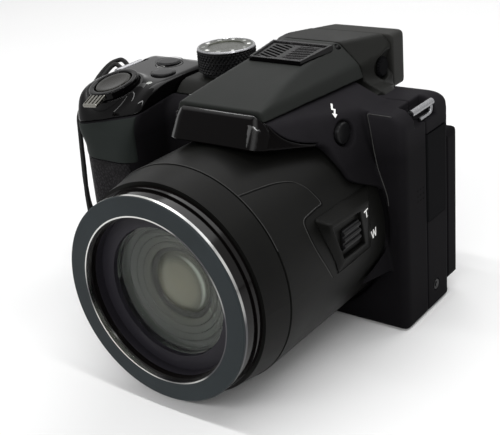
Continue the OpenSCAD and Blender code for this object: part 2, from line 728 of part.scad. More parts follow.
module viewfinder_display() color(inner_grey)
    block([lens_x - evf_cell[0], evf_front_y + 2.4, evf_axis_z - evf_cell[1]],
          [lens_x + evf_cell[0], evf_front_y + 5.3, evf_axis_z + evf_cell[1]]);

module fixed_barrel() color(shell_black) turned([
    [mid_ro + slide_gap, barrel_front_y], [barrel_front_r, barrel_front_y],
    [barrel_r - 0.2, barrel_front_y + barrel_taper], [barrel_r - 0.5, barrel_front_y + barrel_taper + 0.15],
    [barrel_r - 0.5, barrel_front_y + barrel_taper + 0.45], [barrel_r, barrel_front_y + barrel_taper + 0.6],
    [barrel_r, front_y], [neck_r, front_y], [neck_r, neck_rear], [bore_r, neck_rear],
    [bore_r, barrel_front_y + 1.8], [mid_ro + slide_gap, barrel_front_y + 1.8]]);

module pod_outline(x, t, outline) {
    translate([x, 0, lens_z]) rotate([90, 0, 90]) linear_extrude(t) polygon(outline);
}
module zoom_pod() color(shell_black) difference() {
    hull() {
        pod_outline(pod_base_x, skin, pod_base);
        pod_outline(pod_x - skin, skin, pod_face);
    }
    rod_y(lens_x, lens_z, -far, far / 2, barrel_r + 0.05);
    pod_outline(slider_floor, 10, pod_slot);
}

module lens_frame() color(inner_grey) difference() {
    union() {
        turned([[cam_ri, rim_front], [bore_r - 0.1, rim_front], [bore_r - 0.1, neck_rear],
                [neck_r, neck_rear],
                [neck_r, neck_rear + 1.5], [cup_r, neck_rear + 1.5], [cup_r, lens_back + 1.5],
                [0, lens_back + 1.5], [0, lens_back], [relay_r - 1, lens_back], [relay_r - 1, relay_front],
                [relay_r, relay_front], [relay_r, lens_back], [cup_r - 1.4, lens_back],
                [cup_r - 1.4, neck_rear], [cam_ri, neck_rear]]);
        for (s = [-1, 1]) rod_y(lens_x + s * rail_x, lens_z, relay_front, lens_back + 0.5, rail_r);
    }
    block([lens_x - sensor_half[0] - 0.2, lens_back - 1, lens_z - sensor_half[1] - 0.2],
          [lens_x + sensor_half[0] + 0.2, lens_back + 3, lens_z + sensor_half[1] + 0.2]);
}

module aperture_unit() color(inner_grey) turned([
    [relay_r - 4, relay_front - aperture_len], [relay_r, relay_front - aperture_len], [relay_r, relay_front],
    [relay_r - 4, relay_front], [relay_r - 4, relay_front - 2.2], [3, relay_front - 2.2],
    [3, relay_front - 2.6], [relay_r - 4, relay_front - 2.6]]);

module image_sensor() color(board_green) {
    block([lens_x - 11, lens_back + 1.5, lens_z - 9], [lens_x + 11, chassis_y, lens_z + 9]);
    block([lens_x - sensor_half[0], lens_back + 0.4, lens_z - sensor_half[1]],
          [lens_x + sensor_half[0], lens_back + 1.6, lens_z + sensor_half[1]]);
}

module zoom_motor() color(steel) {
    rod_y(motor_x, motor_z, front_y + 3, chassis_y, motor_r);
    block([motor_x - motor_r, chassis_y - 4, motor_z], [motor_x + motor_r, chassis_y, motor_z + 9]);
}

// Inner frame plate with a foot on the base and four stand-offs
standoffs = [for (x = [right_x + 45, left_x - 9], z = [wall + 12, deck_z - 12]) [x, z]];
socket_r = 4.8;
socket_flange_r = socket_r + 1.7;
module chassis() color(steel) difference() {
    union() {
        block([right_x + 32.5, chassis_y, wall + 0.8], [left_x - 6, chassis_y + 1, deck_z - 7.5]);
        block([-11, -7, wall], [11, chassis_y + 1, wall + 1.2]);
        for (p = standoffs) rod_y(p[0], p[1], chassis_y + 0.5, main_board_y, 1.5);
    }
    rod_z(0, 0, 0, 20, socket_r + shaft_gap);
    rod_z(0, 0, wall + 1.2, 20, socket_flange_r + 0.2);
}

module main_board() color(board_green) {
    block([right_x + 41, main_board_y, wall + 8], [left_x - 6, main_board_y + 1.2, deck_z - 8]);
    block([left_x - 14, main_board_y + 1, flap_z[0] + 3], [left_x - 6.3, main_board_y + 5.4, flap_z[1] - 3]);
    block([lens_x - 20, main_board_y + 1, lens_z], [lens_x - 4, main_board_y + 2.6, lens_z + 16]);
    rod_x(main_board_y + 3.4, lens_z - 16, lens_x - 18, lens_x + 14, 2.4);
}

module switch_boards() color(board_green) {
    block([right_x + 5, rear_board_y, 5], [right_x + 37, rear_board_y + board_t, 51]);
    for (p = [menu_pos, delete_pos, playback_pos, selector_pos])
        rod_y(p[0], p[1], rear_board_y + 0.5, rear_board_y + board_t + switch_len, 1.6);
    for (p = [[right_x + 10.5, 20], [right_x + 34, 36]])
        rod_y(p[0], p[1], rear_board_y + 0.5, inner_rear, 1.2);
    block([right_x + 5, top_board_front, top_board_z], [right_x + 28, 12, top_board_z + board_t]);
    for (p = [power_pos, burst_pos])
        rod_z(p[0], p[1], top_board_z + 0.5, cap_top_z - button_len - 0.8, 1.6);
}

module battery_box() color(inner_grey) difference() {
    block(box_a, box_b);
    block(battery_pos - [pocket_gap, pocket_gap, 10],
          battery_pos + battery_size + [pocket_gap, pocket_gap, pocket_gap]);
    block(card_pos - [pocket_gap, pocket_gap, 10],
          card_pos + card_size + [pocket_gap, pocket_gap, pocket_gap]);
}
module battery() color(inner_grey) block(battery_pos, battery_pos + battery_size);
module memory_card() color(gloss_black) block(card_pos, card_pos + card_size);

module hinge_pins() color(steel) {
    rod_x(lid_hinge_y, lid_hinge_z, lens_x - ear_out, lens_x + ear_out, flash_pin_r);
    rod_y(door_hinge_x, door_hinge_z, door_a[1] - 2.5, door_b[1] + 2.5, door_pin_r);
}

module tripod_socket() color(brass) difference() {
    union() {
        cylinder(r = socket_r, h = wall + 1.5);
        translate([0, 0, wall + 1.2]) cylinder(r = socket_flange_r, h = 1.4);
        cylinder(r = tripod_r + 1, h = tripod_depth + 0.9);
    }
    translate([0, 0, -1]) cylinder(r = tripod_r, h = tripod_depth + 1);
}

module screws() color(steel) all_screws(0);
module eyelets() color(steel) {
    eyelet_bar(1, left_eyelet_z);
    eyelet_bar(-1, right_eyelet_z);
}
module speaker() color(inner_grey)
    rod_x(speaker_pos[0], speaker_pos[1], left_x - wall - 3, left_x - wall, speaker_r);

// Swept tube with rings square to the route
function unit(v) = v / norm(v);
function along(p, i) = unit(p[min(i + 1, len(p) - 1)] - p[max(i - 1, 0)]);
function across(d) = abs(d[2]) > 0.9 ? unit(cross(d, [0, 1, 0])) : unit(cross(d, [0, 0, 1]));
function carry(d, u) = unit(u - d * (u * d));
function sides(p, i, u) = i >= len(p) ? [] : concat([carry(along(p, i), u)],
                                                    sides(p, i + 1, carry(along(p, i), u)));
module leash_cord() color(rubber_black) {
    n = 8;
    p = leash_route;
    u = sides(p, 0, across(along(p, 0)));
    rings = [for (i = [0:len(p) - 1], k = [0:n - 1])
        p[i] + leash_r * (u[i] * cos(360 * k / n) + cross(along(p, i), u[i]) * sin(360 * k / n))];
    walls = [for (i = [0:len(p) - 2], k = [0:n - 1], t = [0, 1])
        t == 0 ? [i * n + k, (i + 1) * n + k, i * n + (k + 1) % n]
               : [i * n + (k + 1) % n, (i + 1) * n + k, (i + 1) * n + (k + 1) % n]];
    ends = concat([for (k = [1:n - 2]) [0, k, k + 1]],
                  [for (k = [1:n - 2]) [(len(p) - 1) * n, (len(p) - 1) * n + k + 1, (len(p) - 1) * n + k]]);
    polyhedron(rings, concat(walls, ends));
}

module middle_barrel() color(gloss_black) turned([
    [mid_ri, mid_collar_front], [mid_collar_r, mid_collar_front], [mid_collar_r, mid_collar_rear],
    [mid_ro, mid_collar_rear], [mid_ro, tube_rear + plate_t], [relay_r - 1.1, tube_rear + plate_t],
    [relay_r - 1.1, tube_rear], [mid_ri, tube_rear]]);
module zoom_group() color(glass_tint) turned([
    [0, tube_rear - mid_travel], [16, tube_rear - mid_travel], [16, tube_rear], [13, tube_rear],
    [13, tube_rear - mid_travel + 5], [0, tube_rear - mid_travel + 6]]);
module cam_ring() color(inner_grey) turned([
    [cam_ri, barrel_front_y + 2.1], [cam_ro, barrel_front_y + 2.1], [cam_ro, rim_front - 0.3],
    [cam_ri, rim_front - 0.3]]);
module front_barrel() color(gloss_black) turned([
    [inner_ring_r - 0.8, ring_seat], [front_collar_r, ring_seat], [front_collar_r, front_collar_rear],
    [front_ro, front_collar_rear], [front_ro, tube_rear - 4], [front_ri, tube_rear - 4],
    [front_ri, ring_seat + 14], [glass_r - 1.8, ring_seat + 14], [glass_r - 1.8, cell_rear],
    [glass_r + 0.1, cell_rear], [glass_r + 0.1, ring_seat + 4], [inner_ring_r - 1.2, ring_seat + 4],
    [inner_ring_r - 1.2, ring_seat + 1.4], [inner_ring_r - 0.8, ring_seat + 1.4]]);
module name_ring() color(gloss_black) turned([
    [inner_ring_r + 0.05, ring_front], [ring_r - 0.3, ring_front], [ring_r - 0.05, ring_front + 0.25],
    [ring_r - 0.05, trim_front - 0.05], [ring_r - 1.45, trim_front - 0.05],
    [ring_r - 1.45, ring_seat], [inner_ring_r + 0.05, ring_seat]]);
module trim_rings() color(steel) {
    turned([[ring_r - 1.4, trim_front], [ring_r, trim_front], [ring_r, ring_seat],
            [ring_r - 1.4, ring_seat]]);
    turned([[inner_ring_r - 0.4, ring_front], [inner_ring_r, ring_front],
            [inner_ring_r, ring_seat], [inner_ring_r - 0.4, ring_seat]]);
}

// Front lens group: the domed front glass, and a hollow-faced element behind it with a domed centre
glass_sphere = 70;
module front_element() color(glass_tint) {
    intersection() {
        rod_y(lens_x, lens_z, ring_seat + 2, glass_rear, glass_r);
        translate([lens_x, ring_seat + 2.8 + glass_sphere, lens_z]) sphere(glass_sphere);
    }
    turned([[0, glass_rear + 1.6], [4, glass_rear + 1.8], [8, glass_rear + 2.7], [9, glass_rear + 3.5],
            [9.8, glass_rear + 3.5], [10.4, glass_rear + 2.7], [14, glass_rear + 1.8],
            [glass_r - 0.1, glass_rear + 0.3], [glass_r - 0.1, cell_rear - 0.05],
            [glass_r - 1.9, cell_rear - 0.05], [glass_r - 1.9, cell_rear + 3], [0, cell_rear + 3]]);
}
module focus_group() color(glass_tint) difference() {
    turned([[0, focus_y - 3], [5.5, focus_y - 2], [focus_r, focus_y - 2], [focus_r, focus_y + 2],
            [5.5, focus_y + 2], [0, focus_y + 3]]);
    for (s = [-1, 1]) rod_y(lens_x + s * rail_x, lens_z, focus_y - 9, focus_y + 9, rail_r + shaft_gap);
}

slider_mid = (slider_z[0] + slider_z[1]) / 2;
module zoom_slider() color(shell_black) {
    block([slider_floor + 0.05, slider_y[0], slider_z[0]], [pod_x - 0.5, slider_y[1], slider_z[1]]);
    for (k = [-1:1])
        rod_y(pod_x - 0.4, slider_mid + k * 1.9, slider_y[0], slider_y[1], 0.6);
}

module flash_lid() color(shell_black) difference() {
    union() {
        difference() {
            hull() {
                slice(lid_front_y + skin, [lid_crease_front - [0, 0.2], lid_crease_front]);
                slice(lid_front_y + 0.7, [lid_side_front, lid_crease_front]);
                slice(grille_front_y, [(lid_side_front + lid_side_rear) / 2 + [0.1, 0.1],
                                       (lid_crease_front + lid_crease_rear) / 2 + [0.2, 0.1], lid_top_front]);
                slice(lid_hinge_y + 1.4, [lid_side_rear, lid_crease_rear, lid_top_rear]);
            }
            block([-far, lid_hinge_y, lid_hinge_z], [far, far, far]);
            for (s = [-1, 1])
                block([lens_x + s * (ear_in + ear_out) / 2 - 1.5, lid_hinge_y - lid_knuckle_r - 0.3,
                       lid_hinge_z - lid_knuckle_r - 0.3],
                      [lens_x + s * (ear_in + ear_out) / 2 + 1.5, far, far]);
        }
        rod_x(lid_hinge_y, lid_hinge_z, lens_x - ear_in + 0.4, lens_x + ear_in - 0.4, lid_knuckle_r);
    }
    rod_x(lid_hinge_y, lid_hinge_z, lens_x - ear_out - 3, lens_x + ear_out + 3, flash_pin_r + shaft_gap);
    block([lens_x - head_half - 0.3, lid_front_y + 2.6, 0],
          [lens_x + head_half + 0.3, lid_hinge_y - 10, head_top]);
    grille_seat(0.05);
}

module flash_head() color(glass_tint)
    block([lens_x - head_half, head_y[0], pocket_floor + 0.6], [lens_x + head_half, head_y[1], head_top]);

// Grille plate let into the top of the lid, which slopes up to the rear
grille_slope = atan((lid_top_rear[1] - lid_top_front[1]) / (lid_hinge_y + 1.4 - grille_front_y));
grille_len = 15;
module grille_frame() {
    translate([lens_x, grille_front_y + 0.6, lid_top_front[1]]) rotate([grille_slope, 0, 0]) children();
}
module grille_outline() {
    polygon([[-9, 0], [9, 0], [10.6, grille_len], [-10.6, grille_len]]);
}
module grille_seat(gap) {
    grille_frame() translate([0, 0, -1.2 - gap]) linear_extrude(10) offset(delta = gap) grille_outline();
}
module mic_grille() color(gloss_black) grille_frame() difference() {
    translate([0, 0, -1.2]) linear_extrude(1.7) grille_outline();
    for (s = [-1, 1], k = [0:6])
        translate([s * 4.9, 2.2 + k * 1.8, -5]) rotate([0, 0, s * 24])
            translate([-3, -0.4, 0]) cube([6, 0.8, 10]);
}

module flash_button() color(shell_black)
        translate([lens_x, flash_button_y, flash_button_z]) rotate([0, 90, 0]) {
    translate([0, 0, flash_button_out - flash_stem]) cylinder(r = flash_button_r, h = flash_stem);
    translate([0, 0, flash_button_out - flash_stem]) cylinder(r = flash_button_r + flash_flange, h = 0.8);
}

module mode_dial() color(gloss_black) translate([dial_x, dial_y, deck_z]) {
    translate([0, 0, 0.2]) cylinder(r = dial_r - 1.2, h = 2);
    translate([0, 0, 1.4]) cylinder(r = dial_r, h = dial_h - 1.9);
    translate([0, 0, dial_h - 0.6]) cylinder(r = dial_r - 0.5, h = 0.6);
    translate([0, 0, -wall - 3]) cylinder(r = dial_shaft_r, h = wall + 4);
}

module shutter_button() color(gloss_black) at_shutter() {
    translate([0, 0, -1.6]) cylinder(r = shutter_r, h = 4.2);
    translate([0, 0, -4.6]) cylinder(r = stem_r, h = 4);
}

module zoom_lever() color(gloss_black) at_shutter() translate([0, 0, 0.3]) difference() {
    union() {
        cylinder(r = lever_ro, h = lever_h);
        translate([-3.2, -lever_ro - lever_tab, 0]) cube([6.4, lever_tab + 1, lever_h - 0.5]);
    }
    translate([0, 0, -1]) cylinder(r = lever_ri, h = 10);
}

module top_button(pos) {
    translate([pos[0], pos[1], cap_top_z]) button(top_button_r, top_button_proud, button_len);
}
module power_button() color(gloss_black) top_button(power_pos);
module burst_button() color(gloss_black) top_button(burst_pos);

module diopter_dial() color(rubber_black) {
    rod_x(diopter_y, diopter_z, lens_x + diopter_in + 0.2, lens_x + diopter_in + 1.9, diopter_r);
    rod_x(diopter_y, diopter_z, lens_x + diopter_in - 5, lens_x + diopter_in + 1, 1);
}

module command_dial() color(rubber_black) {
    rod_z(wheel_pos[0], wheel_pos[1], wheel_z[0], wheel_z[1], wheel_r);
    rod_z(wheel_pos[0], wheel_pos[1], wheel_z[0] - 1.6, wheel_z[1] + 1.6, wheel_shaft_r);
}

module movie_button() color(shell_black) rear_button(movie_pos, movie_r, rear_proud);
module playback_button() color(shell_black) rear_button(playback_pos, rear_button_r, rear_proud);
module menu_button() color(shell_black) rear_button(menu_pos, rear_button_r, rear_proud);
module delete_button() color(shell_black) rear_button(delete_pos, rear_button_r, rear_proud);
module display_button() color(shell_black) rear_button(display_pos, rear_button_r, flush_proud);
module view_button() color(shell_black) rear_button(view_pos, rear_button_r, flush_proud);

module multi_selector() color(shell_black) difference() {
    union() {
        rod_y(selector_pos[0], selector_pos[1], rear_y - 1, rear_y + 1.2, selector_r);
        rod_y(selector_pos[0], selector_pos[1], inner_rear - 0.6, rear_y, ok_r + 1.3);
    }
    rod_y(selector_pos[0], selector_pos[1], 0, far, ok_r + button_gap);
}
module ok_button() color(shell_black) {
    rod_y(selector_pos[0], selector_pos[1], rear_y - button_len, rear_y + 1.7, ok_r);
    rod_y(selector_pos[0], selector_pos[1], rear_y - button_len, inner_rear - 0.8, ok_r + button_flange);
}

module monitor_arm() color(steel) {
    block([arm_x0, arm_y0, low_hinge_z + 1.4], [arm_x1, arm_y1, high_hinge_z - 1.4]);
    for (x = [lug_x0 - knuckle_w, lug_x1], z = [low_hinge_z, high_hinge_z]) {
        rod_x(hinge_y, z, x, x + knuckle_w, knuckle_r);
        block([x, arm_y0, min(z, low_hinge_z + 2)], [x + knuckle_w, arm_y1, max(z, high_hinge_z - 2)]);
        block([x, arm_y0, z - knuckle_r], [x + knuckle_w, hinge_y, z + knuckle_r]);
    }
    for (z = [low_hinge_z, high_hinge_z]) {
        rod_x(hinge_y, z, lug_x0 - 1, lug_x0 + stub_len, stub_r);
        rod_x(hinge_y, z, lug_x1 - stub_len, lug_x1 + 1, stub_r);
    }
}

screen_in = [4.6, 3.2];
module monitor_frame() color(shell_black) difference() {
    union() {
        difference() {
            soft_box([monitor_x0, monitor_y0, monitor_z], [monitor_x1, monitor_y1, monitor_top],
                     [1, 1, 1.5, 1.5], [2.5, 2.5, 2.5, 2.5], [1, 1.5, 1.5, 1]);
            block([lug_x0 - knuckle_w - 0.4, 0, 0],
                  [lug_x1 + knuckle_w + 0.4, hinge_y + knuckle_r + 0.4, low_hinge_z + knuckle_r + 0.6]);
            block([lug_x0 - knuckle_w - 0.4, 0, high_hinge_z - knuckle_r - 0.6],
                  [lug_x1 + knuckle_w + 0.4, hinge_y + knuckle_r + 0.4, far]);
        }
        rod_x(hinge_y, high_hinge_z, lug_x0 + lug_gap, lug_x1 - lug_gap, knuckle_r);
        block([lug_x0 + lug_gap, hinge_y, high_hinge_z - knuckle_r],
              [lug_x1 - lug_gap, hinge_y + knuckle_r + 0.6, monitor_top]);
    }
    rod_x(hinge_y, high_hinge_z, lug_x0 - 1, lug_x1 + 1, stub_r + shaft_gap);
    block([monitor_x0 + screen_in[0], monitor_y1 - 1.2, monitor_z + screen_in[1]],
          [monitor_x1 - screen_in[0], far, monitor_top - screen_in[1]]);
}
module monitor_screen() color(glass_tint)
    block([monitor_x0 + screen_in[0] + 0.1, monitor_y1 - 1.2, monitor_z + screen_in[1] + 0.1],
          [monitor_x1 - screen_in[0] - 0.1, monitor_y1 - 0.3, monitor_top - screen_in[1] - 0.1]);

module battery_door() color(shell_black) difference() {
    union() {
        block(door_a, door_b);
        rod_y(door_hinge_x, door_hinge_z, door_a[1], door_b[1], door_knuckle_r);
    }
    rod_y(door_hinge_x, door_hinge_z, door_a[1] - 1, door_b[1] + 1, door_pin_r + shaft_gap);
}

module connector_cover() color(rubber_black) {
    block([left_x - flap_t, flap_hinge[1], flap_z[0]], [left_x - 0.05, flap_y[1], flap_z[1]]);
    rod_z(flap_hinge[0], flap_hinge[1], flap_z[0], flap_z[1], flap_pin_r);
}

front_cover();
rear_cover();
top_cover();
grip_cap();
grip_rubber();
fascia();
eyecup();
eyepiece_lens();
viewfinder_display();
fixed_barrel();
zoom_pod();
lens_frame();
aperture_unit();
image_sensor();
zoom_motor();
chassis();
main_board();
switch_boards();
battery_box();
battery();
memory_card();
hinge_pins();
tripod_socket();
screws();
eyelets();
speaker();
leash_cord();
middle_barrel();
zoom_group();
cam_ring();
front_barrel();
name_ring();
trim_rings();
front_element();
focus_group();
zoom_slider();
flash_lid();
flash_head();
mic_grille();
flash_button();
mode_dial();
shutter_button();
zoom_lever();
power_button();
burst_button();
diopter_dial();
command_dial();
movie_button();
playback_button();
menu_button();
delete_button();
display_button();
view_button();
multi_selector();
ok_button();
monitor_arm();
monitor_frame();
monitor_screen();
battery_door();
connector_cover();
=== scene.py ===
"""Looks of a bridge camera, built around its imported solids.

The shape functions work in millimetres in the shared frame, and meshes are written
in metres. Rounded covers are signed distance fields, negative inside, that are
sampled on a grid and turned into a mesh. Turned pieces are lathed from an outline.
"""

import functools
import math

import bmesh
import bpy
import numpy as np
import openvdb as vdb
from mathutils import Matrix, Vector


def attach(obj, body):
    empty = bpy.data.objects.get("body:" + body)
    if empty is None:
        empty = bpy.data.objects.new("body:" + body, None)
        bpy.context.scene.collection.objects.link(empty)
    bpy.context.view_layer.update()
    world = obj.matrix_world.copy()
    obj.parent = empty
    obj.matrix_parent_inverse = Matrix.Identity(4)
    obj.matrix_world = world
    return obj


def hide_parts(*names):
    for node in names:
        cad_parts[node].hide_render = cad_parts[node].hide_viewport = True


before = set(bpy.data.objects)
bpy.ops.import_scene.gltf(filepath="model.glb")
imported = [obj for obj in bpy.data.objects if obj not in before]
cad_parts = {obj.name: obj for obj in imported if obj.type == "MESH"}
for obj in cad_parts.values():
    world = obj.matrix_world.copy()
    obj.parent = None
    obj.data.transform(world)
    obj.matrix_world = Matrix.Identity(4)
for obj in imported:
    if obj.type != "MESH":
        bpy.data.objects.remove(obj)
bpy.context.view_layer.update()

MM = 0.001

# Main planes, places and radii, as in the solids
RIGHT, LEFT = -57.75, 57.75
FRONT, REAR = -12.0, 16.3
DECK, CAP_TOP = 68.0, 69.4
GRIP_FRONT, GRIP_LEFT = -31.5, -27.45
WALL = 2.0
SEAM_Y, SEAM_HALF = 2.2, 0.12
TOP_SEAM = 63.9
LENS_X, LENS_Z = 18.75, 33.4
BARREL_R = 32.5
EVF_HALF, EVF_TOP, EVF_AXIS = 20.5, 82.3, 74.2
EVF_FRONT, EVF_REAR = 4.6, 17.2
HINGE_Y, HINGE_Z = 2.6, 81.0
LID_FRONT = -42.4
SHUTTER = (-43.65, -17.9, 66.9)
POWER, BURST = (-41.75, 7.2), (-34.85, -4.0)
TOP_BUTTON_R = 3.9
DIAL = (-16.65, 7.6)
DIAL_R, DIAL_H = 9.65, 9.0
FLASH_BUTTON = (-17.8, 63.3)
FLASH_BUTTON_R = 3.2
DIOPTER = (13.0, 73.4)
DIOPTER_R = 3.2
SELECTOR, SELECTOR_R, OK_R = (-36.05, 27.0), 10.5, 4.9
WHEEL, WHEEL_R, WHEEL_Z = (-47.25, 12.2), 7.0, (55.0, 58.5)
MONITOR_X, MONITOR_Z = (-14.3, 57.3), (4.1, 54.4)
BAY_Y = 15.4
FLAP_Y, FLAP_Z = (3.1, 13.9), (30.6, 57.9)
EYELET_Y, EYELET_LEFT_Z, EYELET_RIGHT_Z = (-4.1, 8.5), 66.2, 67.4
RUBBER_Z, RUBBER_LEFT, RUBBER_T = (4.5, 47.0), -30.45, 1.2

# Gap round the keys, and the front glass: radius, radius of its curve, front and rear
KEY_GAP = 0.15
GLASS_R, GLASS_CURVE, GLASS_FRONT, GLASS_REAR = 18.8, 70.0, 73.2, 68.0

# The photograph's camera
CAMERA_AT = (184.08, -243.37, 159.08)
CAMERA_RIGHT = (0.8061, 0.5855, -0.0860)
CAMERA_UP = (-0.1777, 0.3781, 0.9086)
CAMERA_BACK = (0.5645, -0.7171, 0.4088)
CAMERA_LENS = 72.61
SENSOR_W = 36.0
CLIP_START, CLIP_END = 0.01, 20.0

# Wrist leash, from the right eyelet down beside the grip, round a loop and back
LEASH_R, LEASH_STEPS = 0.8, 5
LEASH_ROUTE = [
    (-58.2, 0.5, 67.2), (-60.5, 0.2, 68.4), (-61.6, -2.5, 67), (-62.2, -8, 63.5),
    (-62.8, -14, 59.5), (-63, -17.7, 55.5), (-63, -18.6, 50.2), (-63, -19.4, 37.6),
    (-63, -20.2, 24), (-63.3, -18.5, 12), (-64.2, -11, 4.5), (-65, -3, 1.8),
    (-65, 6, 1.2), (-63, 12.5, 0.9), (-59, 19, 0.9), (-53, 25, 0.9), (-46, 30, 0.9),
    (-38, 33.5, 0.9), (-30, 34.5, 0.9), (-23.5, 36, 0.9), (-21.5, 40, 0.9),
    (-24.5, 43.5, 0.9), (-31, 44, 0.9), (-39, 42.5, 0.9), (-48, 38.5, 0.9),
    (-56, 32.5, 0.9), (-62.5, 25, 0.9), (-66.5, 17, 0.9), (-68, 10, 1.8),
    (-67.4, 0, 4.5), (-66.4, -10, 9.5), (-65.7, -16.5, 19), (-65.2, -18, 29),
    (-65, -17.6, 39), (-64.9, -16.6, 49), (-64.5, -13.5, 57.5), (-63.8, -7, 64),
    (-63, -0.5, 68), (-61.6, 3.6, 68.9), (-60, 4.2, 68.5), (-58.2, 4, 67.2),
]


# Camera and cord

def show(name, data):
    """Object with some data, linked to the scene."""
    obj = bpy.data.objects.new(name, data)
    bpy.context.collection.objects.link(obj)
    return obj


def make_camera():
    """The camera at the photograph's place and angle."""
    data = bpy.data.cameras.new("photo_camera")
    data.sensor_fit = "HORIZONTAL"
    data.sensor_width = SENSOR_W
    data.lens = CAMERA_LENS
    data.clip_start = CLIP_START
    data.clip_end = CLIP_END
    camera = show("photo_camera", data)
    axes = Matrix((CAMERA_RIGHT, CAMERA_UP, CAMERA_BACK)).transposed().to_4x4()
    camera.matrix_world = Matrix.Translation(Vector(CAMERA_AT) * MM) @ axes
    bpy.context.scene.camera = camera


def through(points, per_span):
    """A smooth run of points through the given ones."""
    p = np.array(points, float)
    padded = np.vstack([2 * p[0] - p[1], p, 2 * p[-1] - p[-2]])
    run = []
    for i in range(len(p) - 1):
        a, b, c, d = padded[i:i + 4]
        for t in np.arange(per_span) / per_span:
            run.append(0.5 * (2 * b + (c - a) * t + (2 * a - 5 * b + 4 * c - d) * t ** 2
                              + (3 * b - a - 3 * c + d) * t ** 3))
    run.append(p[-1])
    return np.array(run)


def wire(name, points, radius):
    """A round wire along the points, as a curve of one open spline."""
    data = bpy.data.curves.new(name, "CURVE")
    data.dimensions = "3D"
    data.bevel_depth = 1.0
    data.bevel_resolution = 5
    data.use_fill_caps = True
    spline = data.splines.new("POLY")
    spline.points.add(len(points) - 1)
    for point, place in zip(spline.points, points):
        point.co = (*(np.array(place) * MM), 1.0)
        point.radius = radius * MM
    spline.use_smooth = True
    return show(name, data)


make_camera()
leash_line = through(LEASH_ROUTE, LEASH_STEPS)
leash = wire("wrist_leash", leash_line, LEASH_R)
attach(leash, "body")
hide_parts("leash_cord")


# Materials

PATCH_SCALE = 70.0
LOW_STOP, HIGH_STOP = 0.3, 0.7
ROUGH_VARY = 0.04
BLACK, FULL = (0, 0, 0), (1, 1, 1)


class Nodes:
    """A material's node tree with short ways to add and join nodes."""

    def __init__(self, name):
        self.material = bpy.data.materials.new(name)
        self.material.use_nodes = True
        self.tree = self.material.node_tree
        self.shader = self.tree.nodes["Principled BSDF"]
        self.place = self.add("ShaderNodeTexCoord").outputs["Object"]

    def add(self, kind, **settings):
        node = self.tree.nodes.new(kind)
        for key, value in settings.items():
            setattr(node, key, value)
        return node

    def join(self, output, target):
        self.tree.links.new(output, target)

    def set(self, **values):
        """Sets sockets of the shader."""
        for key, value in values.items():
            self.shader.inputs[key.replace("_", " ")].default_value = value

    def feed(self, **outputs):
        """Joins outputs to sockets of the shader."""
        for key, output in outputs.items():
            self.join(output, self.shader.inputs[key.replace("_", " ")])

    def calc(self, operation, *values):
        node = self.add("ShaderNodeMath", operation=operation)
        for value, target in zip(values, node.inputs):
            self.join(value, target)
        return node.outputs[0]

    def noise(self, scale, detail=3.0):
        node = self.add("ShaderNodeTexNoise")
        node.inputs["Scale"].default_value = scale
        node.inputs["Detail"].default_value = detail
        node.inputs["Roughness"].default_value = 0.55
        self.join(self.place, node.inputs["Vector"])
        return node.outputs["Fac"]

    def cells(self, scale):
        """Distance to the edges of random cells."""
        node = self.add("ShaderNodeTexVoronoi", feature="DISTANCE_TO_EDGE")
        node.inputs["Scale"].default_value = scale
        self.join(self.place, node.inputs["Vector"])
        return node.outputs["Distance"]

    def spread(self, value, low, high, from_low=LOW_STOP, from_high=HIGH_STOP):
        """A value carried from one range to another."""
        node = self.add("ShaderNodeMapRange")
        for key, number in (("From Min", from_low), ("From Max", from_high),
                            ("To Min", low), ("To Max", high)):
            node.inputs[key].default_value = number
        self.join(value, node.inputs["Value"])
        return node.outputs["Result"]

    def ramp(self, value, stops):
        node = self.add("ShaderNodeValToRGB")
        elements = node.color_ramp.elements
        for i in (0, -1):
            elements[i].position = stops[i][0]
            elements[i].color = (*stops[i][1], 1)
        for position, colour in stops[1:-1]:
            elements.new(position).color = (*colour, 1)
        self.join(value, node.inputs["Fac"])
        return node.outputs["Color"]

    def mottle(self, value, dark, pale):
        """A colour that wanders between two with a noise."""
        return self.ramp(value, [(LOW_STOP, dark), (HIGH_STOP, pale)])

    def painted_light_above(self, colour, low, high, factor):
        """Painted light from above: a colour that grows paler between two heights, in millimetres."""
        parts = self.add("ShaderNodeSeparateXYZ")
        self.join(self.place, parts.inputs[0])
        more = self.add("ShaderNodeVectorMath", operation="SCALE")
        self.join(colour, more.inputs[0])
        scale = self.spread(parts.outputs["Z"], 1.0, factor, low * MM, high * MM)
        self.join(scale, more.inputs["Scale"])
        return more.outputs[0]

    def bump(self, height, strength, distance_mm):
        node = self.add("ShaderNodeBump")
        node.inputs["Strength"].default_value = strength
        node.inputs["Distance"].default_value = distance_mm * MM
        self.join(height, node.inputs["Height"])
        self.feed(Normal=node.outputs["Normal"])

    def radius(self, aside=(0.0, 0.0)):
        """Distance from the lens axis, or from a line beside it, in metres."""
        shift = self.add("ShaderNodeVectorMath", operation="SUBTRACT")
        shift.inputs[1].default_value = ((LENS_X + aside[0]) * MM, 0, (LENS_Z + aside[1]) * MM)
        self.join(self.place, shift.inputs[0])
        flat = self.add("ShaderNodeVectorMath", operation="MULTIPLY")
        flat.inputs[1].default_value = (1, 0, 1)
        self.join(shift.outputs[0], flat.inputs[0])
        length = self.add("ShaderNodeVectorMath", operation="LENGTH")
        self.join(flat.outputs[0], length.inputs[0])
        return length.outputs["Value"]


def shade(colour, factor):
    return tuple(c * factor for c in colour)


def moulded(name, colour, rough, grain, depth, shine=0.5, vary=0.12, painted_light=None):
    """Moulded plastic or rubber: fine grain, slight unevenness, and painted light from above that makes it
    paler higher up if asked.
    """
    n = Nodes(name)
    patches = n.noise(PATCH_SCALE)
    tint = n.mottle(patches, shade(colour, 1 - vary), shade(colour, 1 + vary))
    if painted_light:
        tint = n.painted_light_above(tint, *painted_light)
    n.feed(Base_Color=tint, Roughness=n.spread(patches, rough - ROUGH_VARY, rough + ROUGH_VARY))
    n.bump(n.noise(grain, 2.0), 0.5, depth)
    n.set(Specular_IOR_Level=shine)
    return n.material
